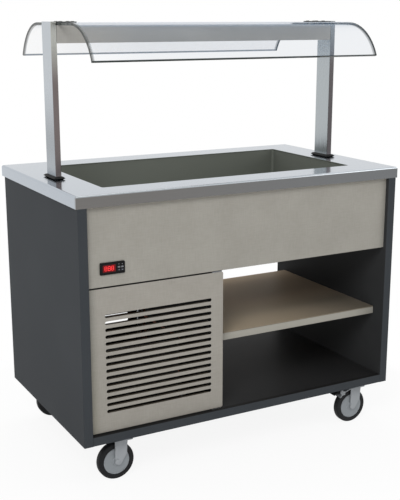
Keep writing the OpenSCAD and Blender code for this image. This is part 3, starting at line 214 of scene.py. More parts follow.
class Recipe(Network):
    """The node tree of one material."""

    def __init__(self, name: str) -> None:
        """Starts an empty material.

        Args:
            name: Name of the material.
        """
        self.material = bpy.data.materials.new(name)
        self.material.use_nodes = True
        super().__init__(self.material.node_tree)
        coordinates = self.node("ShaderNodeTexCoord")
        self.place = Signal(self, coordinates.outputs["Object"])
        parts = self.node("ShaderNodeSeparateXYZ", {}, {"Vector": self.place})
        self.axes = {axis: Signal(self, parts.outputs[axis.value]) for axis in Axis}

    def noise(self, grain: Grain) -> Signal:
        """Lays a noise pattern over the object.

        Args:
            grain: The pattern.

        Returns:
            The noise, from 0 to 1.
        """
        moved = self.node("ShaderNodeMapping", {}, {
            "Vector": self.place, "Location": (grain.offset,) * 3, "Scale": grain.stretch})
        made = self.node("ShaderNodeTexNoise", {}, {
            "Vector": Signal(self, moved.outputs[0]),
            "Scale": grain.scale, "Detail": grain.detail})
        return Signal(self, made.outputs["Fac"])

    def blend(self, share: Value, first: Paint, second: Paint) -> Paint:
        """Mixes two colours.

        Args:
            share: Share of the second colour.
            first: First colour.
            second: Second colour.

        Returns:
            The mixed colour, worked out here where nothing in it varies.
        """
        if not any(isinstance(part, Signal) for part in (share, first, second)):
            return tuple(one + (two - one) * share for one, two in zip(first, second))
        if share == 0:
            return first
        made = self.node("ShaderNodeMix", {"data_type": "RGBA"}, {0: share, 6: first, 7: second})
        return Signal(self, made.outputs[2])

    def bump(self, height: Value, depth: float) -> Signal:
        """Normal that a height pattern bends; the depth is in millimetres."""
        made = self.node("ShaderNodeBump", {}, {"Height": height, "Distance": depth * MM})
        return Signal(self, made.outputs[0])

    def vary(self, share: Signal, colour: Paint, shades: Pair) -> Signal:
        """Colour between a shade of it with some black and, at share 1, one with some white."""
        dark, light = shades
        return self.blend(share, self.blend(dark, colour, BLACK), self.blend(light, colour, WHITE))

    def surface(self, sockets: Mapping[str | int, object]) -> Material:
        """Makes the material's surface a principled shader with these sockets."""
        made = self.node("ShaderNodeBsdfPrincipled", {}, sockets)
        return self.finish(Signal(self, made.outputs[0]))

    def finish(self, shader: Signal) -> Material:
        """Sends a shader to the output and returns the material."""
        self.node("ShaderNodeOutputMaterial", {}, {"Surface": shader})
        return self.material


@dataclass(frozen=True)
class FaceTint:
    """Another colour on the faces that lie past a plane; nearly all tints here are painted light
    or shade.

    Attributes:
        axis: Axis that the plane is square to.
        band: Places at which the tint sets in and is full.
        start: Colour at the start of the run.
        end: Colour at the end of the run, if it is another one.
        along: Axis of the run.
        run: Where the run starts and ends.
        both: Whether the tint also lies past the mirrored plane.
    """

    axis: Axis
    band: Pair
    start: Colour
    end: Colour | None = None
    along: Axis = X
    run: Pair = (-0.6, 0.6)
    both: bool = False

    def apply(self, recipe: Recipe, under: Paint) -> Paint:
        """Lays the tint over a colour.

        Args:
            recipe: Material that the tint is part of.
            under: The colour under the tint.

        Returns:
            The tinted colour.
        """
        place = recipe.axes[self.axis]
        mask = (abs(place) if self.both else place).ramp(*self.band)
        shade: Paint = self.start
        if self.end is not None:
            shade = recipe.blend(recipe.axes[self.along].ramp(*self.run), shade, self.end)
        return recipe.blend(mask, under, shade)


# ----- finishes -----


@dataclass(frozen=True)
class Finish:
    """What a surface is made of.

    Attributes:
        name: Name of the material.
        colour: Main colour.
        roughness: Mean roughness.
        tints: Other colours on some of the faces, nearly all of them painted light or shade.
    """

    name: str
    colour: Colour
    roughness: float = 0.4
    tints: tuple[FaceTint, ...] = ()

    def tone(self, recipe: Recipe) -> Paint:
        """Lays the tints over the main colour.

        Args:
            recipe: Material that is being made.

        Returns:
            The tinted colour.
        """
        shade: Paint = self.colour
        for tint in self.tints:
            shade = tint.apply(recipe, shade)
        return shade

    def make(self) -> Material:
        """Builds the material."""
        raise NotImplementedError


@dataclass(frozen=True)
class Grained(Finish):
    """Surface whose tone and roughness follow a fine grain and slow clouds.

    Attributes:
        grain: Fine pattern, which also bends the normal.
        cloud: Slow pattern.
        parts: Shares of the grain and of the clouds in the tone.
        span: Values of their sum between which the tone turns lighter, if it is not the sum.
        shades: Share of black in the darkest tone and of white in the lightest.
        swing: Swing of the roughness with the grain and with the clouds.
        depth: Depth of the grain, in millimetres.
        metallic: 1 for bare metal, 0 for what is no metal.
        gloss: Specular level.
    """

    grain: Grain = Grain(700, 3)
    cloud: Grain = Grain(3.5, 3, 2.0)
    parts: Pair = (0.5, 0.5)
    span: Pair | None = None
    shades: Pair = (0.14, 0.02)
    swing: Pair = (0.12, 0.0)
    depth: float = 0.05
    metallic: float = 0.0
    gloss: float = 0.5

    def make(self) -> Material:
        """Builds the material.

        Returns:
            The new material.
        """
        recipe = Recipe(self.name)
        layers = recipe.noise(self.grain), recipe.noise(self.cloud)
        share = sum(layer * part for layer, part in zip(layers, self.parts) if part)
        if self.span:
            share = share.ramp(*self.span)
        rough = sum(((layer - 0.5) * swing for layer, swing in zip(layers, self.swing) if swing),
                    self.roughness)
        return recipe.surface({
            "Base Color": recipe.vary(share, self.tone(recipe), self.shades),
            "Metallic": self.metallic,
            "Roughness": rough,
            "Specular IOR Level": self.gloss,
            "Normal": recipe.bump(layers[0], self.depth),
        })


LEVEL_GRAIN = Grain(900, 3, stretch=(0.015, 1.0, 1.0))
UPRIGHT_GRAIN = Grain(900, 3, stretch=(1.0, 1.0, 0.015))


@dataclass(frozen=True)
class BrushedSteel(Grained):
    """Stainless sheet with a fine grain along one axis."""

    grain: Grain = LEVEL_GRAIN
    cloud: Grain = Grain(5, 2, 3.0)
    parts: Pair = (0.7, 0.3)
    shades: Pair = (0.09, 0.02)
    swing: Pair = (0.10, 0.06)
    depth: float = 0.02
    metallic: float = 1.0


@dataclass(frozen=True)
class Laminate(Grained):
    """Board faced with a matt laminate."""

    roughness: float = 0.5
    gloss: float = 0.04


@dataclass(frozen=True)
class Moulded(Grained):
    """Moulded plastic or rubber with a fine grain."""

    grain: Grain = Grain(1200)
    cloud: Grain = Grain(18, 2, 4.0)
    parts: Pair = (0.4, 0.6)
    shades: Pair = (0.2, 0.01)
    swing: Pair = (0.16, 0.0)
    depth: float = 0.04
    gloss: float = 0.2


@dataclass(frozen=True)
class BareMetal(Grained):
    """Plated, cast, drawn or enamelled metal with slight stains."""

    grain: Grain = Grain(900, 2, 6.0)
    cloud: Grain = Grain(40, 3)
    parts: Pair = (0.0, 1.0)
    span: Pair | None = (0.75, 0.35)
    shades: Pair = (0.35, 0.0)
    swing: Pair = (0.08, 0.25)
    depth: float = 0.03
    metallic: float = 1.0


@dataclass(frozen=True)
class Foam(Grained):
    """Cut face of a closed-cell foam."""

    roughness: float = 0.85
    grain: Grain = Grain(420, 3)
    cloud: Grain = Grain(8, 2, 2.5)
    parts: Pair = (0.6, 0.4)
    shades: Pair = (0.25, 0.0)
    swing: Pair = (0.1, 0.0)
    depth: float = 0.4


@dataclass(frozen=True)
class CoatedSheet(Finish):
    """Plastic coated sheet steel with a faint linen-like surface.

    Attributes:
        weft: Threads along X.
        warp: Threads along Z.
        cloth_span: Values of the weave between which its tone turns lighter.
        cloth_shades: Shares of black and white in the weave's tones.
        patch: Slow pattern.
        patch_span: Values of the slow pattern between which the tone turns lighter.
        patch_shades: Shares of black and white in its tones.
        swing: Swing of the roughness with the weave.
        depth: Depth of the weave, in millimetres.
        gloss: Specular level.
    """

    roughness: float = 0.55
    weft: Grain = Grain(300, 1, stretch=(0.1, 1.0, 1.0))
    warp: Grain = Grain(300, 1, 1.7, (1.0, 1.0, 0.1))
    cloth_span: Pair = (0.32, 0.68)
    cloth_shades: Pair = (0.045, 0.015)
    patch: Grain = Grain(9, 3, 5.0)
    patch_span: Pair = (0.30, 0.70)
    patch_shades: Pair = (0.05, 0.01)
    swing: float = 0.2
    depth: float = 0.08
    gloss: float = 0.3

    def make(self) -> Material:
        """Builds the material.

        Returns:
            The new material.
        """
        recipe = Recipe(self.name)
        cloth = recipe.noise(self.weft) * 0.5 + recipe.noise(self.warp) * 0.5
        patch = recipe.noise(self.patch).ramp(*self.patch_span)
        tone = recipe.vary(patch, self.tone(recipe), self.patch_shades)
        return recipe.surface({
            "Base Color": recipe.vary(cloth.ramp(*self.cloth_span), tone, self.cloth_shades),
            "Roughness": self.roughness + (cloth - 0.5) * self.swing,
            "Specular IOR Level": self.gloss,
            "Normal": recipe.bump(cloth, self.depth),
        })


@dataclass(frozen=True)
class ClearSheet(Finish):
    """Clear bent sheet with a faint sheen and dark cut edges.

    Attributes:
        edge: Colour of the cut edges.
        ends: Distance from the middle, along X, at which the sheet ends.
        end_band: Distances before that end at which the cut face's tint starts and is full.
        band: The same for the band in which the edge shows through the sheet.
        foot: Levels at which the tint of the lower edges starts and is full.
        foot_far: Share that this tint loses at the rear.
        foot_run: Where that loss starts and ends, along Y.
        rim_veil: Cover of the cut edges.
        band_veil: Cover of the band beside them.
        base_veil: Cover of the sheet itself.
        haze: Pattern of a slight haze.
        haze_veil: Cover that the haze adds.
        haze_rough: Roughness that the haze adds.
        glare_veil: Cover that a painted soft reflection adds.
        glare_run: Where that reflection starts and is full, along X.
        grazing: Blend, power, gain and limit of the cover at grazing angles.
        gloss: Specular level.
    """

    roughness: float = 0.05
    edge: Colour = BLACK
    ends: float = 0.519
    end_band: Pair = (0.4 * MM, 0.1 * MM)
    band: Pair = (10 * MM, 5 * MM)
    foot: Pair = (1.3346, 1.3340)
    foot_far: float = 0.45
    foot_run: Pair = (-0.1, 0.1)
    rim_veil: float = 0.92
    band_veil: float = 0.45
    base_veil: float = 0.027
    haze: Grain = Grain(4)
    haze_veil: float = 0.02
    haze_rough: float = 0.03
    glare_veil: float = 0.04
    glare_run: Pair = (-0.5, -0.3)
    grazing: tuple[float, float, float, float] = (0.3, 6, 3, 0.9)
    gloss: float = 0.15

    def make(self) -> Material:
        """Builds the material.

        Returns:
            The new material.
        """
        recipe = Recipe(self.name)
        across, deep, height = (recipe.axes[axis] for axis in Axis)
        end, band = (abs(across).ramp(*(self.ends - before for before in span))
                     for span in (self.end_band, self.band))
        rim = end.larger(height.ramp(*self.foot)
                         * (1 - deep.ramp(*self.foot_run) * self.foot_far))
        haze = recipe.noise(self.haze)
        blend, power, gain, limit = self.grazing
        weight = recipe.node("ShaderNodeLayerWeight", {}, {"Blend": blend})
        grazing = (Signal(recipe, weight.outputs["Facing"]) ** power * gain).smaller(limit)
        # The glare term is a painted soft reflection, laid on as cover.
        veil = (self.base_veil + haze * self.haze_veil
                + across.ramp(*self.glare_run) * self.glare_veil
                + grazing + band * self.band_veil)
        return recipe.surface({
            "Base Color": recipe.blend(rim.larger(band), self.colour, self.edge),
            "Roughness": self.roughness + haze * self.haze_rough,
            "Specular IOR Level": self.gloss,
            "Alpha": veil.larger(rim * self.rim_veil),
        })


@dataclass(frozen=True)
class Opal(Finish):
    """White translucent plastic or glass.

    Attributes:
        cloud: Slow pattern.
        shades: Shares of black and white in its tones.
        swing: Swing of the roughness with the pattern.
    """

    roughness: float = 0.3
    cloud: Grain = Grain(30)
    shades: Pair = (0.08, 0.0)
    swing: float = 0.1

    def make(self) -> Material:
        """Builds the material.

        Returns:
            The new material.
        """
        recipe = Recipe(self.name)
        cloud = recipe.noise(self.cloud)
        return recipe.surface({
            "Base Color": recipe.vary(cloud, self.tone(recipe), self.shades),
            "Roughness": self.roughness + (cloud - 0.5) * self.swing,
        })


@dataclass(frozen=True)
class Lit(Finish):
    """Display window or segments with light behind them.

    Attributes:
        glow: Strength of the light.
        speck: Fine pattern.
        shades: Shares of black and white in its tones.
        gloss: Specular level.
    """

    roughness: float = 0.2
    glow: float = 1.0
    speck: Grain = Grain(800, 1)
    shades: Pair = (0.3, 0.0)
    gloss: float = 0.2

    def make(self) -> Material:
        """Builds the material.

        Returns:
            The new material.
        """
        recipe = Recipe(self.name)
        tone = recipe.vary(recipe.noise(self.speck), self.tone(recipe), self.shades)
        return recipe.surface({
            "Base Color": tone,
            "Roughness": self.roughness,
            "Specular IOR Level": self.gloss,
            "Emission Color": tone,
            "Emission Strength": self.glow,
        })


# Bands of the tints: where each one sets in, and where it is full; nearly all of these tints paint
# light or shade
WORKTOP_TOP = (0.9494, 0.9498)
# Bands across the worktop's rounded front edge: painted grey reflection, painted highlight and the
# front face's painted shade
BEND_TOP = (-0.3452, -0.3460)
BEND_MIDDLE = (-0.3482, -0.3488)
BEND_FOOT = (-0.3517, -0.3523)
# Bands of the posts' painted shade and painted reflection
POST_LOWER_HALF = (1.26, 1.00)
POST_FRONT = (-0.0390, -0.0396)
UPPER_PANEL_FOLD = (0.6626, 0.6622)
REAR_PANEL_INSIDE = (0.3246, 0.3243)
ABOVE_FLOOR = (0.0, 0.1)
DOOR_LEFT_EDGE = (-0.530, -0.550)
DOOR_BACK = (-0.3366, -0.3363)
DOOR_TOP = (0.6570, 0.6573)
DOOR_FOOT = (0.1885, 0.1882)
BOARD_FRONT = (-0.3514, -0.3518)
BOARD_INSIDE = (0.5653, 0.5651)
BASE_TOP = (0.1846, 0.1849)
BASE_FRONT = (-0.3355, -0.3365)
SHELF_TOP = (0.4325, 0.4328)
SHELF_REAR = (-0.16, 0.0)
SHELF_FRONT = (-0.2965, -0.2969)

SHEET_BEIGE = srgb(147, 144, 136)
BOARD_GREY = srgb(49, 53, 57)
# The next two colours are painted shade: the first on the bay's inner faces, the second in gaps,
# on folds and on the backs of panels.
PAINTED_INSIDE_SHADE = srgb(46, 47, 48)
SHADE = srgb(26, 23, 19)
FRONT_EDGE = srgb(52, 56, 60)

# Painted light on the worktop: the top face is toned apart from the other faces, the rounded front
# edge gets a painted grey reflection band and a painted highlight, and the front face gets a
# painted shade.
WORKTOP_STEEL = BrushedSteel("worktop_steel", srgb(176, 184, 193), 0.16, (
    FaceTint(Z, WORKTOP_TOP, srgb(165, 174, 184)),
    FaceTint(Y, BEND_TOP, srgb(146, 149, 152), srgb(201, 208, 217), run=(-0.22, 0.14)),
    FaceTint(Y, BEND_MIDDLE, srgb(166, 171, 175), srgb(190, 196, 202), run=(-0.45, 0.05)),
    FaceTint(Y, BEND_FOOT, srgb(116, 114, 112), srgb(116, 118, 120))))
TANK_STEEL = BrushedSteel("tank_steel", srgb(116, 120, 112), 0.75, metallic=0.6)
# Painted light on the posts: the left post's lower part gets painted shade, and each front face
# gets a painted reflection and shade that is darker and browner lower down. The right post's steel
# is a darker, shaded copy of the left post's.
LEFT_POST_STEEL = BrushedSteel("left_post_steel", srgb(187, 193, 199), 0.26, (
    FaceTint(Z, POST_LOWER_HALF, srgb(165, 171, 177), srgb(142, 148, 153), Z, (0.96, 1.10)),
    FaceTint(Y, POST_FRONT, srgb(115, 106, 105), srgb(184, 185, 179), Z,
             (1.24, 1.40))), UPRIGHT_GRAIN)
RIGHT_POST_STEEL = BrushedSteel("right_post_steel", srgb(176, 182, 185), 0.26, (
    FaceTint(Y, POST_FRONT, srgb(88, 84, 86), srgb(116, 119, 121), Z,
             (1.27, 1.40)),), UPRIGHT_GRAIN)
PLAIN_STEEL = BrushedSteel("plain_steel", srgb(182, 186, 190), 0.3, grain=UPRIGHT_GRAIN)
BEIGE_SHEET = CoatedSheet("beige_sheet", SHEET_BEIGE)
# The front upper panel's lower fold gets painted shade.
PANEL_SHEET = CoatedSheet("panel_sheet", SHEET_BEIGE, tints=(
    FaceTint(Z, UPPER_PANEL_FOLD, SHADE),))
# The rear service panel's inside gets painted shade.
REAR_SHEET = CoatedSheet("rear_sheet", SHEET_BEIGE, tints=(
    FaceTint(Y, REAR_PANEL_INSIDE, SHADE),))
# Painted shade on the door: darker towards the bottom and along the left edge, dark on its inside,
# which shows through the louvres, and dark top and bottom edges where the gaps are.
DOOR_SHEET = CoatedSheet("door_sheet", SHEET_BEIGE, tints=(
    FaceTint(Z, ABOVE_FLOOR, srgb(144, 140, 132), srgb(148, 144, 136), Z, (0.19, 0.50)),
    FaceTint(X, DOOR_LEFT_EDGE, srgb(134, 131, 120), srgb(139, 136, 128), Z, (0.19, 0.64)),
    FaceTint(Y, DOOR_BACK, srgb(70, 62, 51)),
    FaceTint(Z, DOOR_TOP, SHADE),
    FaceTint(Z, DOOR_FOOT, SHADE)))
LIGHT_BOX_SHEET = CoatedSheet("light_box_sheet", srgb(154, 152, 147))
# Painted shade on the side boards: darker towards the bottom, and darker on their inner faces.
SIDE_BOARD = Laminate("side_board", BOARD_GREY, tints=(
    FaceTint(Z, ABOVE_FLOOR, srgb(42, 46, 50), BOARD_GREY, Z, (0.15, 0.60)),
    FaceTint(Y, BOARD_FRONT, FRONT_EDGE),
    FaceTint(X, BOARD_INSIDE, PAINTED_INSIDE_SHADE, both=True)))
# Painted shade on the base: its top, which is the bay's floor, darkens to the right, and the ledge
# in front of the door gets a near-black painted shadow.
BASE_BOARD = Laminate("base_board", FRONT_EDGE, tints=(
    FaceTint(Z, BASE_TOP, srgb(40, 41, 42), srgb(27, 27, 28)),
    FaceTint(Y, BASE_FRONT, FRONT_EDGE, srgb(14, 13, 12), Z, (0.1838, 0.1846))))
# Darker copy of the board for the partition and the bay's ceiling: painted shade inside the bay.
SHADED_INNER_BOARD = Laminate("inner_board", srgb(44, 46, 48))
# Painted light on the shelf: its top gets painted shade that darkens to the right, its rear part a
# painted lighter tone, and its front edge a lit tone whose top strip takes the top's shaded
# colour.
SHELF_BOARD = Laminate("shelf_board", srgb(140, 128, 110), tints=(
    FaceTint(Z, SHELF_TOP, srgb(170, 154, 131), srgb(112, 104, 91), run=(0.05, 0.55)),
    FaceTint(Y, SHELF_REAR, srgb(202, 177, 146), srgb(180, 160, 137), run=(0.05, 0.55)),
    FaceTint(Y, SHELF_FRONT, srgb(178, 175, 166), srgb(112, 104, 91), Z, (0.4296, 0.4312))))
EDGE_STRIP = Laminate("edge_strip", srgb(157, 154, 145))
SUBFRAME_BOARD = Laminate("subframe_board", srgb(176, 160, 132), 0.7)
FOAM = Foam("yellow_foam", srgb(226, 214, 168))
COPPER = BareMetal("copper_tube", srgb(138, 86, 62), 0.5)
BRASS = BareMetal("brass_casting", srgb(206, 172, 108), 0.35)
ZINC = BareMetal("zinc_plate", srgb(172, 175, 179), 0.36)
DARK_STEEL = BareMetal("dark_steel", srgb(66, 67, 66), 0.6, metallic=0.2)
BLACK_ENAMEL = BareMetal("black_enamel", srgb(30, 30, 32), 0.42, metallic=0.0)
FORK_GREY = Moulded("fork_grey", srgb(158, 162, 166), gloss=0.3)
RED_DIP = Moulded("red_dip", srgb(186, 40, 36))
BLACK_RUBBER = Moulded("black_rubber", srgb(15, 15, 15), 0.6, grain=Grain(700), depth=0.08,
                       gloss=0.15)
TYRE_RUBBER = Moulded("tyre_rubber", srgb(22, 23, 25), 0.6, grain=Grain(500), depth=0.12,
                      gloss=0.15)
HUB_PLASTIC = Moulded("hub_plastic", srgb(140, 145, 149), 0.42, gloss=0.3)
BLACK_PLASTIC = Moulded("black_plastic", srgb(13, 13, 14), gloss=0.06)
KEY_PLASTIC = Moulded("key_plastic", srgb(104, 105, 109), 0.45)
DARK_KEY_PLASTIC = Moulded("dark_key_plastic", srgb(42, 44, 54), 0.45)
PALE_PRINT = Moulded("pale_print", srgb(150, 152, 156), 0.5)
WHITE_PLASTIC = Opal("white_plastic", srgb(236, 237, 235), 0.35)
OPAL_SHEET = Opal("opal_sheet", srgb(238, 240, 242), 0.25)
LAMP_GLASS = Opal("lamp_glass", srgb(246, 246, 240), 0.15)
CLEAR_SHEET = ClearSheet("clear_sheet", srgb(78, 116, 150), edge=srgb(50, 55, 53))
RED_WINDOW = Lit("red_window", srgb(108, 4, 10), glow=0.1)
RED_GLOW = Lit("lit_segments", srgb(255, 58, 60), glow=0.8)


Coats = tuple[tuple[Finish, tuple[str, ...]], ...]


class Paintshop:
    """Makes each material once and lays it on nodes and pieces."""

    def __init__(self) -> None:
        """Starts with no material made."""
        self.made: dict[Finish, Material] = {}

    def coat(self, piece: Piece, finish: Finish) -> None:
        """Gives a whole piece one finish, whose material is made on first use.

        Args:
            piece: The piece or CAD node.
            finish: Its finish.
        """
        if finish not in self.made:
            self.made[finish] = finish.make()
        piece.data.materials.clear()
        piece.data.materials.append(self.made[finish])


# ----- modelling tools -----


FaceTest = Callable[[Vector], bool]
FACING = 0.9


def facing(*direction: float) -> FaceTest:
    """Test for the normals of faces that look in a direction of length one."""
    return lambda normal: normal.dot(Vector(direction)) > FACING


class Bench:
    """Blender's own modelling tools, one object at a time."""

    @staticmethod
    def clear() -> None:
        """Leaves edit mode and deselects everything."""
        if bpy.context.object and bpy.context.object.mode != "OBJECT":
            bpy.ops.object.mode_set(mode="OBJECT")
        bpy.ops.object.select_all(action="DESELECT")

    @classmethod
    def hold(cls, *pieces: Piece) -> None:
        """Selects only these pieces and makes the first one active.

        Args:
            pieces: The pieces.
        """
        cls.clear()
        for piece in pieces:
            piece.select_set(True)
        bpy.context.view_layer.objects.active = pieces[0]

    @classmethod
    def cylinder(cls, name: str, radius: float, depth: float, centre: Spot = (0, 0, 0),
                 sides: int = 24) -> Piece:
        """Adds a cylinder whose axis lies along Y.

        Args:
            name: Its name.
            radius: Its radius.
            depth: Its length.
            centre: Its middle.
            sides: Number of its sides.

        Returns:
            The cylinder.
        """
        cls.clear()
        bpy.ops.mesh.primitive_cylinder_add(vertices=sides, radius=radius, depth=depth,
                                            location=centre, rotation=(math.pi / 2, 0, 0))
        return cls.settle(bpy.context.object, name)

    @classmethod
    def block(cls, name: str, size: Spot, centre: Spot = (0, 0, 0)) -> Piece:
        """Adds a box.

        Args:
            name: Its name.
            size: Its size along X, Y and Z.
            centre: Its middle.

        Returns:
            The box.
        """
        cls.clear()
        bpy.ops.mesh.primitive_cube_add(size=1, location=centre, scale=size)
        return cls.settle(bpy.context.object, name)

    @classmethod
    def settle(cls, piece: Piece, name: str | None = None) -> Piece:
        """Moves a piece's place and turn into its mesh.

        Args:
            piece: The piece.
            name: Its new name, if it gets one.

        Returns:
            The piece, at the origin and unturned.
        """
        cls.hold(piece)
        bpy.ops.object.transform_apply(location=True, rotation=True, scale=True)
        if name:
            piece.name = name
            piece.data.name = name
        return piece

    @classmethod
    def pick(cls, piece: Piece, test: FaceTest) -> None:
        """Enters edit mode with only some of a piece's faces selected.

        Args:
            piece: The piece.
            test: Test of a face's normal.
        """
        cls.hold(piece)
        mesh = piece.data
        for part in (mesh.vertices, mesh.edges, mesh.polygons):
            part.foreach_set("select", [False] * len(part))
        for face in mesh.polygons:
            face.select = test(face.normal)
        bpy.ops.object.mode_set(mode="EDIT")
        bpy.ops.mesh.select_mode(type="FACE")

    @classmethod
    def bevel_rim(cls, piece: Piece, test: FaceTest, width: float, segments: int = 3) -> None:
        """Rounds the border of some of a piece's faces.

        Args:
            piece: The piece.
            test: Test of a face's normal.
            width: Width of the rounding.
            segments: Number of its steps.
        """
        cls.pick(piece, test)
        bpy.ops.mesh.region_to_loop()
        bpy.ops.mesh.bevel(offset=width, segments=segments, affect="EDGES")
        cls.clear()

    @classmethod
    def cut(cls, piece: Piece, tool: Piece) -> None:
        """Cuts one piece out of another and removes it.

        Args:
            piece: The piece that stays.
            tool: The piece that is cut out.
        """
        cls.hold(piece)
        step = piece.modifiers.new("cut", "BOOLEAN")
        step.operation, step.object, step.solver = "DIFFERENCE", tool, "EXACT"
        bpy.ops.object.modifier_apply(modifier=step.name)
        bpy.data.objects.remove(tool)

    @classmethod
    def move(cls, piece: Piece, place: Spot, turn: Spot = (0, 0, 0),
             name: str | None = None) -> Piece:
        """Turns a piece's mesh about the origin and then moves it.

        Args:
            piece: The piece.
            place: Step along X, Y and Z.
            turn: Angles about X, Y and Z.
            name: Its new name, if it gets one.

        Returns:
            The piece.
        """
        piece.rotation_euler = Euler(turn)
        piece.location = place
        return cls.settle(piece, name)

    @classmethod
    def twin(cls, piece: Piece) -> Piece:
        """Copies a piece with its own mesh.

        Args:
            piece: The piece.

        Returns:
            The copy.
        """
        cls.hold(piece)
        bpy.ops.object.duplicate(linked=False)
        return bpy.context.object

    @classmethod
    def join(cls, pieces: Sequence[Piece], name: str) -> Piece:
        """Joins pieces into one object.

        Args:
            pieces: Two or more pieces.
            name: Name of the object.

        Returns:
            The object.
        """
        cls.hold(*pieces)
        bpy.ops.object.join()
        return cls.settle(pieces[0], name)

    @classmethod
    def repeat(cls, master: Piece, places: Iterable[Spot], name: str) -> Piece:
        """Joins copies of a piece, one at each place, and removes the piece.

        Args:
            master: The piece.
            places: Two or more places.
            name: Name of the joined object.

        Returns:
            The joined object.
        """
        twins = [cls.move(cls.twin(master), place) for place in places]
        bpy.data.objects.remove(master)
        return cls.join(twins, name)

    @classmethod
    def smooth(cls, piece: Piece, angle: float = 40) -> None:
        """Shades a piece smooth, apart from edges sharper than the angle in degrees."""
        cls.hold(piece)
        bpy.ops.object.shade_smooth_by_angle(angle=math.radians(angle))


@dataclass
class SubAssembly:
    """A group of nodes and pieces that belong together.

    Attributes:
        paint: The paintshop that all groups share.
        coats: Finishes of the group's CAD nodes, each with the nodes' names.
    """

    paint: Paintshop
    coats: Coats = ()

    def fit(self, piece: Piece, body: str, slot: str, finish: Finish) -> None:
        """Coats a new piece and lets it ride on a body.

        Args:
            piece: The piece.
            body: The body that carries it.
            slot: Its slot in the record; not used.
            finish: Its finish.
        """
        self.paint.coat(piece, finish)
        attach(piece, body)
        LOG.info("%s rides on %s, %d faces", piece.name, body, len(piece.data.polygons))

    def dress(self) -> None:
        """Gives the group's CAD nodes their finishes."""
        for finish, names in self.coats:
            for name in names:
                self.paint.coat(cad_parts[name], finish)

    def build(self) -> None:
        """Makes the group's own small pieces; most groups have none."""


# ----- sub-assemblies -----


@dataclass
class Cabinet(SubAssembly):
    """Boards, fixed panels and the shelf.

    Attributes:
        screw_radius: Radius of a panel screw's head.
        screw_height: Height of a panel screw's head.
        screw_crown: Share of its height over which the head is rounded.
        recess: Width, depth and length of each slot of the screw's cross.
        rear_face: Place of the rear panels' outer face.
        strip: Lowest and highest corner of the shelf's edge strip.
        strip_round: Width of the rounding on the strip's outer edges.
        screws: Places of the columns and of the rows of screws of each rear panel.
    """

    coats: Coats = (
        (SIDE_BOARD, ("left_side_panel", "right_side_panel")),
        (BASE_BOARD, ("base_panel",)),
        (SHADED_INNER_BOARD, ("partition_panel", "bay_ceiling_panel")),
        (PANEL_SHEET, ("front_upper_panel",)),
        (BEIGE_SHEET, ("rear_upper_panel",)),
        (REAR_SHEET, ("rear_service_panel",)),
        (SHELF_BOARD, ("shelf",)),
        (ZINC, ("shelf_pins",)),
    )
    screw_radius: float = 4.0 * MM
    screw_height: float = 2.2 * MM
    screw_crown: float = 0.6
    recess: Triple = (0.9 * MM, 1.6 * MM, 4.4 * MM)
    rear_face: float = 325 * MM
    strip: tuple[Triple, Triple] = ((-0.0915, -0.2984, 0.4068), (0.5635, -0.2970, 0.4300))
    strip_round: float = 0.8 * MM
    screws: tuple[tuple[str, tuple[float, ...], tuple[float, ...]], ...] = (
        ("rear_upper_screws", (-0.552, -0.276, 0.0, 0.276, 0.552), (0.674, 0.900)),
        ("rear_service_screws", (-0.552, -0.106), (0.200, 0.422, 0.644)),
    )

    def screw(self) -> Piece:
        """Makes one pan-head screw with a cross recess.

        Returns:
            The screw, which faces the rear, with its seat at the origin.
        """
        head = Bench.cylinder("screw", self.screw_radius, self.screw_height,
                              (0, self.screw_height / 2, 0))
        Bench.bevel_rim(head, facing(0, 1, 0), self.screw_height * self.screw_crown)
        for size in (self.recess, self.recess[::-1]):
            Bench.cut(head, Bench.block("slot", size, (0, self.screw_height, 0)))
        Bench.smooth(head, 35)
        return head

    def build(self) -> None:
        """Makes the shelf's edge strip and the screws that hold the rear panels."""
        low, high = (Vector(corner) for corner in self.strip)
        strip = Bench.block("shelf_edge_strip", high - low, (low + high) / 2)
        Bench.bevel_rim(strip, facing(0, -1, 0), self.strip_round)
        Bench.smooth(strip)
        self.fit(strip, "cabinet", "beige_sheet", EDGE_STRIP)
        for name, columns, rows in self.screws:
            places = [(x, self.rear_face, z) for x in columns for z in rows]
            self.fit(Bench.repeat(self.screw(), places, name), "cabinet", "zinc_steel", ZINC)


@dataclass
class Worktop(SubAssembly):
    """Worktop, well, insulation and evaporator, with the drain.

    Attributes:
        opening: Length and width of the well's opening.
        bead: Lower and upper level of the weld bead on the cut edge.
        bead_width: Width of the bead.
        bead_round: Share of that width over which the bead is rounded.
    """

    coats: Coats = (
        (WORKTOP_STEEL, ("worktop",)),
        (TANK_STEEL, ("well_tank",)),
        (SUBFRAME_BOARD, ("worktop_subframe",)),
        (FOAM, ("well_insulation",)),
        (COPPER, ("evaporator_coil",)),
        (PLAIN_STEEL, ("drain_pipes",)),
        (BRASS, ("drain_valve",)),
        (RED_DIP, ("drain_lever",)),
    )
    opening: Pair = (0.940, 0.490)
    bead: Pair = (0.9464, 0.9498)
    bead_width: float = 1.2 * MM
    bead_round: float = 0.4

    def build(self) -> None:
        """Makes the weld bead around the well, on the worktop's cut edge."""
        low, high = self.bead
        bead = Bench.block("well_weld", (*self.opening, high - low), (0, 0, (low + high) / 2))
        Bench.pick(bead, lambda normal: abs(normal.z) > FACING)
        bpy.ops.mesh.inset(thickness=self.bead_width, depth=0)
        bpy.ops.mesh.bridge_edge_loops()
        Bench.clear()
        Bench.bevel_rim(bead, facing(0, 0, -1), self.bead_width * self.bead_round, 2)
        Bench.smooth(bead)
        # The bead is a weld bead, and its dark tank steel also paints the well's shade right up to
        # the worktop's top edge.
        self.fit(bead, "cabinet", "tank_steel", TANK_STEEL)


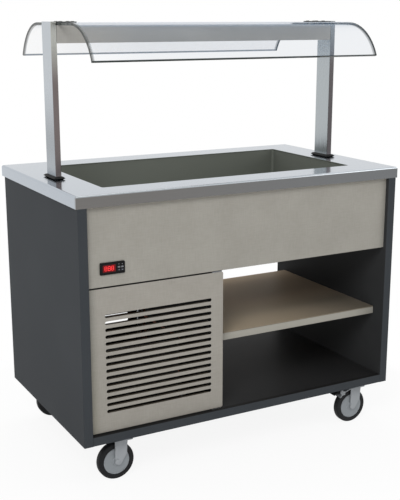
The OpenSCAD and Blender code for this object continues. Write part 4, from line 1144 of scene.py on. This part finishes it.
@dataclass
class FoodGuard(SubAssembly):
    """Posts, light box and the bent clear sheet."""

    coats: Coats = (
        (LEFT_POST_STEEL, ("left_post",)),
        (RIGHT_POST_STEEL, ("right_post",)),
        (BLACK_RUBBER, ("post_collars",)),
        (LIGHT_BOX_SHEET, ("light_box",)),
        (LAMP_GLASS, ("lamp_tube",)),
        (WHITE_PLASTIC, ("lamp_holders",)),
        (OPAL_SHEET, ("lamp_diffuser",)),
        (CLEAR_SHEET, ("sneeze_guard",)),
        (DARK_STEEL, ("guard_clamps",)),
    )


@dataclass
class Controller(SubAssembly):
    """Temperature controller with its lit digits and marked keys.

    Attributes:
        centre: Place of the display's middle, in X and Z.
        window_face: Place of the window's outer face.
        housing_face: Place of the housing's outer face.
        key_face: Place of the keys' outer face.
        digit: Width and height of one digit.
        pitch: Distance between two digits.
        stroke: Width of a segment.
        point: Share of a segment's width that is left at its pointed ends.
        joint: Share of half a segment's width by which its ends stand off the corner.
        relief: Height of the segments and marks above their face.
        relief_round: Share of that height over which the marks' edges are eased.
        columns: Places of the two columns of keys.
        rows: Heights of the two rows of keys.
        lens_row: Height of the indicator lenses.
        lens: Radius, height and rounding of an indicator lens.
        mark_radius: Outer radius of the arrows and of the ring.
        ring_bore: Radius of the ring's bore.
        ring_gap: Width and height of the tool that opens the ring, and its middle's height.
        ring_bar: Width and height of the bar in the ring's opening, and its middle's height.
        level_bar: Width and height of each of the two level bars, and its distance from the
            middle between them.
        tool_depth: Depth of the tools that cut the marks.
    """

    coats: Coats = (
        (BLACK_PLASTIC, ("controller_housing",)),
        (RED_WINDOW, ("controller_window",)),
        (KEY_PLASTIC, ("up_key", "power_key")),
        (DARK_KEY_PLASTIC, ("down_key", "set_key")),
    )
    centre: Pair = (-0.4935, 0.719)
    window_face: float = -0.3407
    housing_face: float = -0.3410
    key_face: float = -0.3418
    digit: Pair = (7.0 * MM, 12.5 * MM)
    pitch: float = 11.0 * MM
    stroke: float = 1.3 * MM
    point: float = 0.1
    joint: float = 1.2
    relief: float = 0.2 * MM
    relief_round: float = 0.4
    columns: Pair = (-0.4615, -0.4505)
    rows: Pair = (0.7115, 0.7205)
    lens_row: float = 0.7295
    lens: Triple = (1.1 * MM, 0.6 * MM, 0.4 * MM)
    mark_radius: float = 1.7 * MM
    ring_bore: float = 1.1 * MM
    ring_gap: Triple = (1.4 * MM, 2.0 * MM, 1.4 * MM)
    ring_bar: Triple = (0.5 * MM, 1.6 * MM, 1.1 * MM)
    level_bar: Triple = (4.0 * MM, 0.7 * MM, 0.8 * MM)
    tool_depth: float = 1.0 * MM

    def segment(self) -> Piece:
        """Makes one level segment with pointed ends.

        Returns:
            The segment, with its back on the origin's plane.
        """
        half = self.stroke / 2
        reach = self.digit[0] / 2 - half * self.joint
        bar = Bench.block("segment", (2 * reach, self.relief, self.stroke),
                          (0, -self.relief / 2, 0))
        for side in (-1, 1):
            Bench.pick(bar, facing(side, 0, 0))
            bpy.ops.mesh.extrude_region_move(TRANSFORM_OT_translate={"value": (side * half, 0, 0)})
            bpy.ops.transform.resize(value=(1, 1, self.point))
            Bench.clear()
        return bar

    def digits(self) -> Piece:
        """Makes three digits with every segment lit.

        Returns:
            The digits, on the window.
        """
        bar = self.segment()
        width, height = self.digit
        level, upright = (0, 0, 0), (0, math.pi / 2, 0)
        spots = [((0, 0, z), level) for z in (-height / 2, 0, height / 2)]
        spots += [((x, 0, z), upright)
                  for x in (-width / 2, width / 2) for z in (-height / 4, height / 4)]
        parts = [Bench.move(Bench.twin(bar), *spot) for spot in spots]
        bpy.data.objects.remove(bar)
        middle, row = self.centre
        places = [(middle + k * self.pitch, self.window_face, row) for k in (-1, 0, 1)]
        return Bench.repeat(Bench.join(parts, "figure"), places, "display_digits")

    def eased(self, mark: Piece) -> Piece:
        """Eases the outer edges of a mark and returns it."""
        Bench.bevel_rim(mark, facing(0, -1, 0), self.relief * self.relief_round, 1)
        return mark

    def arrow(self) -> Piece:
        """Makes a raised triangle about the origin, with its tip up."""
        return self.eased(Bench.cylinder("arrow", self.mark_radius, self.relief, sides=3))

    def ring(self) -> Piece:
        """Makes a raised ring, open at the top, with a bar in the opening.

        Returns:
            The ring, about the origin.
        """
        mark = Bench.cylinder("ring", self.mark_radius, self.relief)
        Bench.cut(mark, Bench.cylinder("bore", self.ring_bore, self.tool_depth))
        (gap, gap_height, gap_level), (bar, bar_height, bar_level) = self.ring_gap, self.ring_bar
        Bench.cut(mark, Bench.block("gap", (gap, self.tool_depth, gap_height),
                                    (0, 0, gap_level)))
        upright = Bench.block("bar", (bar, self.relief, bar_height), (0, 0, bar_level))
        return Bench.join([mark, upright], "ring")

    def bars(self) -> Piece:
        """Makes two raised level bars, one above the other.

        Returns:
            The two bars as one object, about the origin.
        """
        width, height, distance = self.level_bar
        bar = self.eased(Bench.block("bar", (width, self.relief, height)))
        return Bench.repeat(bar, [(0, 0, z) for z in (-distance, distance)], "bars")

    def lenses(self) -> Piece:
        """Makes the two small domed indicator lenses.

        Returns:
            The lenses, on the housing.
        """
        radius, height, dome = self.lens
        lens = Bench.cylinder("lens", radius, height, (0, -height / 2, 0))
        Bench.bevel_rim(lens, facing(0, -1, 0), dome)
        Bench.smooth(lens)
        places = [(x, self.housing_face, self.lens_row) for x in self.columns]
        return Bench.repeat(lens, places, "indicator_lenses")

    def build(self) -> None:
        """Makes the digits, the indicator lenses and the marks on the keys."""
        self.fit(self.digits(), "cabinet", "red_window", RED_GLOW)
        self.fit(self.lenses(), "cabinet", "grey_plastic", PALE_PRINT)
        (left, right), (low, high) = self.columns, self.rows
        face = self.key_face - self.relief / 2
        # The tip of the up mark points down and that of the down mark points up.
        for name, body, mark, column, row, turn in (
                ("up_mark", "up_key", self.arrow(), left, high, math.pi),
                ("down_mark", "down_key", self.arrow(), left, low, 0),
                ("power_mark", "power_key", self.ring(), right, high, 0),
                ("set_mark", "set_key", self.bars(), right, low, 0)):
            Bench.move(mark, (column, face, row), (0, turn, 0), name)
            self.fit(mark, body, "grey_plastic", PALE_PRINT)


@dataclass
class LouvredDoor(SubAssembly):
    """The machine compartment's door."""

    coats: Coats = (
        (DOOR_SHEET, ("louvred_door",)),
        (ZINC, ("door_hardware",)),
    )


@dataclass
class MachineCompartment(SubAssembly):
    """Condensing unit behind the louvres."""

    coats: Coats = (
        (ZINC, ("unit_tray",)),
        (BLACK_ENAMEL, ("compressor", "condenser_coil", "fan_shroud", "fan_motor")),
        (BLACK_PLASTIC, ("terminal_box", "fan_blades", "cable_gland")),
        (COPPER, ("refrigerant_pipes",)),
    )


CORNERS = ("front_left", "front_right", "rear_left", "rear_right")
BRAKED = ("front_right", "rear_left")


@dataclass
class Casters(SubAssembly):
    """Four swivel casters; two of them have brakes."""

    coats: Coats = (
        (FORK_GREY, ("caster_plates", *(f"{corner}_fork" for corner in CORNERS))),
        (HUB_PLASTIC, tuple(f"{corner}_hub" for corner in CORNERS)),
        (TYRE_RUBBER, tuple(f"{corner}_tyre" for corner in CORNERS)),
        (BLACK_PLASTIC, tuple(f"{corner}_pedal" for corner in BRAKED)),
    )


# ----- studio -----


@dataclass(frozen=True)
class SoftBox:
    """One large soft lamp aimed at the part.

    Attributes:
        name: Name of the lamp.
        place: Place of its middle.
        size: Diameter of the disk that shines.
        power: Power in watts.
    """

    name: str
    place: Triple
    size: float
    power: float


@dataclass
class Studio:
    """Pale floor, white surroundings, soft lamps and the camera.

    Attributes:
        target: Point that the lamps are aimed at.
        lamps: The soft lamps.
        sky: Strength of the even light from all round.
        floor_size: Length of the floor's side.
        floor_tone: Colour of the floor.
        shadow_reach: Distances from the middle between which the shadow zone fades to white.
        shadow_share: Share of white that lies over the shadow zone.
        lens: Focal length of the camera, in millimetres.
        sensor: Width of the camera's sensor, in millimetres.
        stand: Place of the camera.
        aim: Turns of the camera about X, Y and Z, in degrees.
    """

    target: Triple = (0, 0, 0.7)
    lamps: tuple[SoftBox, ...] = (
        SoftBox("key_light", (-3.2, -3.6, 4.2), 2.6, 160.0),
        SoftBox("fill_light", (4.0, -3.2, 2.6), 3.0, 45.0),
        SoftBox("top_light", (0.3, 1.2, 4.6), 3.2, 60.0),
    )
    sky: float = 0.55
    floor_size: float = 24.0
    floor_tone: Colour = (0.92, 0.92, 0.92, 1.0)
    shadow_reach: Pair = (0.55, 1.05)
    shadow_share: float = 0.9
    lens: float = 68.54
    sensor: float = 36.0
    stand: Triple = (-1.5906, -2.9124, 1.4569)
    aim: Triple = (76.262, 0.0, -28.735)

    def build_floor(self) -> None:
        """Makes the floor, which turns to plain white away from the object."""
        Bench.clear()
        bpy.ops.mesh.primitive_plane_add(size=self.floor_size, location=(0, 0, 0))
        floor = Bench.settle(bpy.context.object, "floor")
        recipe = Recipe("pale_floor")
        reach = (recipe.axes[X] ** 2 + recipe.axes[Y] ** 2) ** 0.5
        share = reach.ramp(*self.shadow_reach).larger(self.shadow_share) * recipe.looking()
        matt = recipe.node("ShaderNodeBsdfDiffuse", {}, {"Color": self.floor_tone})
        lit = recipe.node("ShaderNodeEmission", {}, {"Color": WHITE})
        mixed = recipe.node("ShaderNodeMixShader", {}, {
            0: share, 1: Signal(recipe, matt.outputs[0]), 2: Signal(recipe, lit.outputs[0])})
        floor.data.materials.append(recipe.finish(Signal(recipe, mixed.outputs[0])))

    def build_world(self) -> None:
        """Makes the surroundings: white to look at, a plain level as light."""
        world = bpy.data.worlds.new("studio")
        world.use_nodes = True
        bpy.context.scene.world = world
        network = Network(world.node_tree)
        level = network.looking() * (1 - self.sky) + self.sky
        background = network.node("ShaderNodeBackground", {}, {"Color": WHITE, "Strength": level})
        network.node("ShaderNodeOutputWorld", {}, {
            "Surface": Signal(network, background.outputs[0])})

    def build_lamps(self) -> None:
        """Hangs the soft lamps."""
        for box in self.lamps:
            data = bpy.data.lights.new(box.name, "AREA")
            data.shape, data.size, data.energy = "DISK", box.size, box.power
            lamp = bpy.data.objects.new(box.name, data)
            lamp.location = box.place
            aim = Vector(self.target) - Vector(box.place)
            lamp.rotation_euler = aim.to_track_quat("-Z", "Y").to_euler()
            bpy.context.scene.collection.objects.link(lamp)

    def build_camera(self) -> None:
        """Stands the camera where the photograph was taken."""
        data = bpy.data.cameras.new("camera")
        data.lens, data.sensor_width, data.sensor_fit = self.lens, self.sensor, "AUTO"
        camera = bpy.data.objects.new("camera", data)
        camera.location = self.stand
        camera.rotation_euler = Euler([math.radians(angle) for angle in self.aim])
        bpy.context.scene.collection.objects.link(camera)
        bpy.context.scene.camera = camera

    def build(self) -> None:
        """Builds the whole studio."""
        bpy.context.scene.view_settings.view_transform = "Standard"
        self.build_camera()
        self.build_floor()
        self.build_world()
        self.build_lamps()


def main() -> None:
    """Builds the studio and every sub-assembly in order."""
    logging.basicConfig(level=logging.INFO, format="%(name)s: %(message)s")
    Studio().build()
    paint = Paintshop()
    for kind in (Cabinet, Worktop, FoodGuard, Controller, LouvredDoor, MachineCompartment,
                 Casters):
        group = kind(paint)
        group.dress()
        group.build()
        LOG.info("%s done", kind.__name__)


if __name__ == "__main__":
    main()
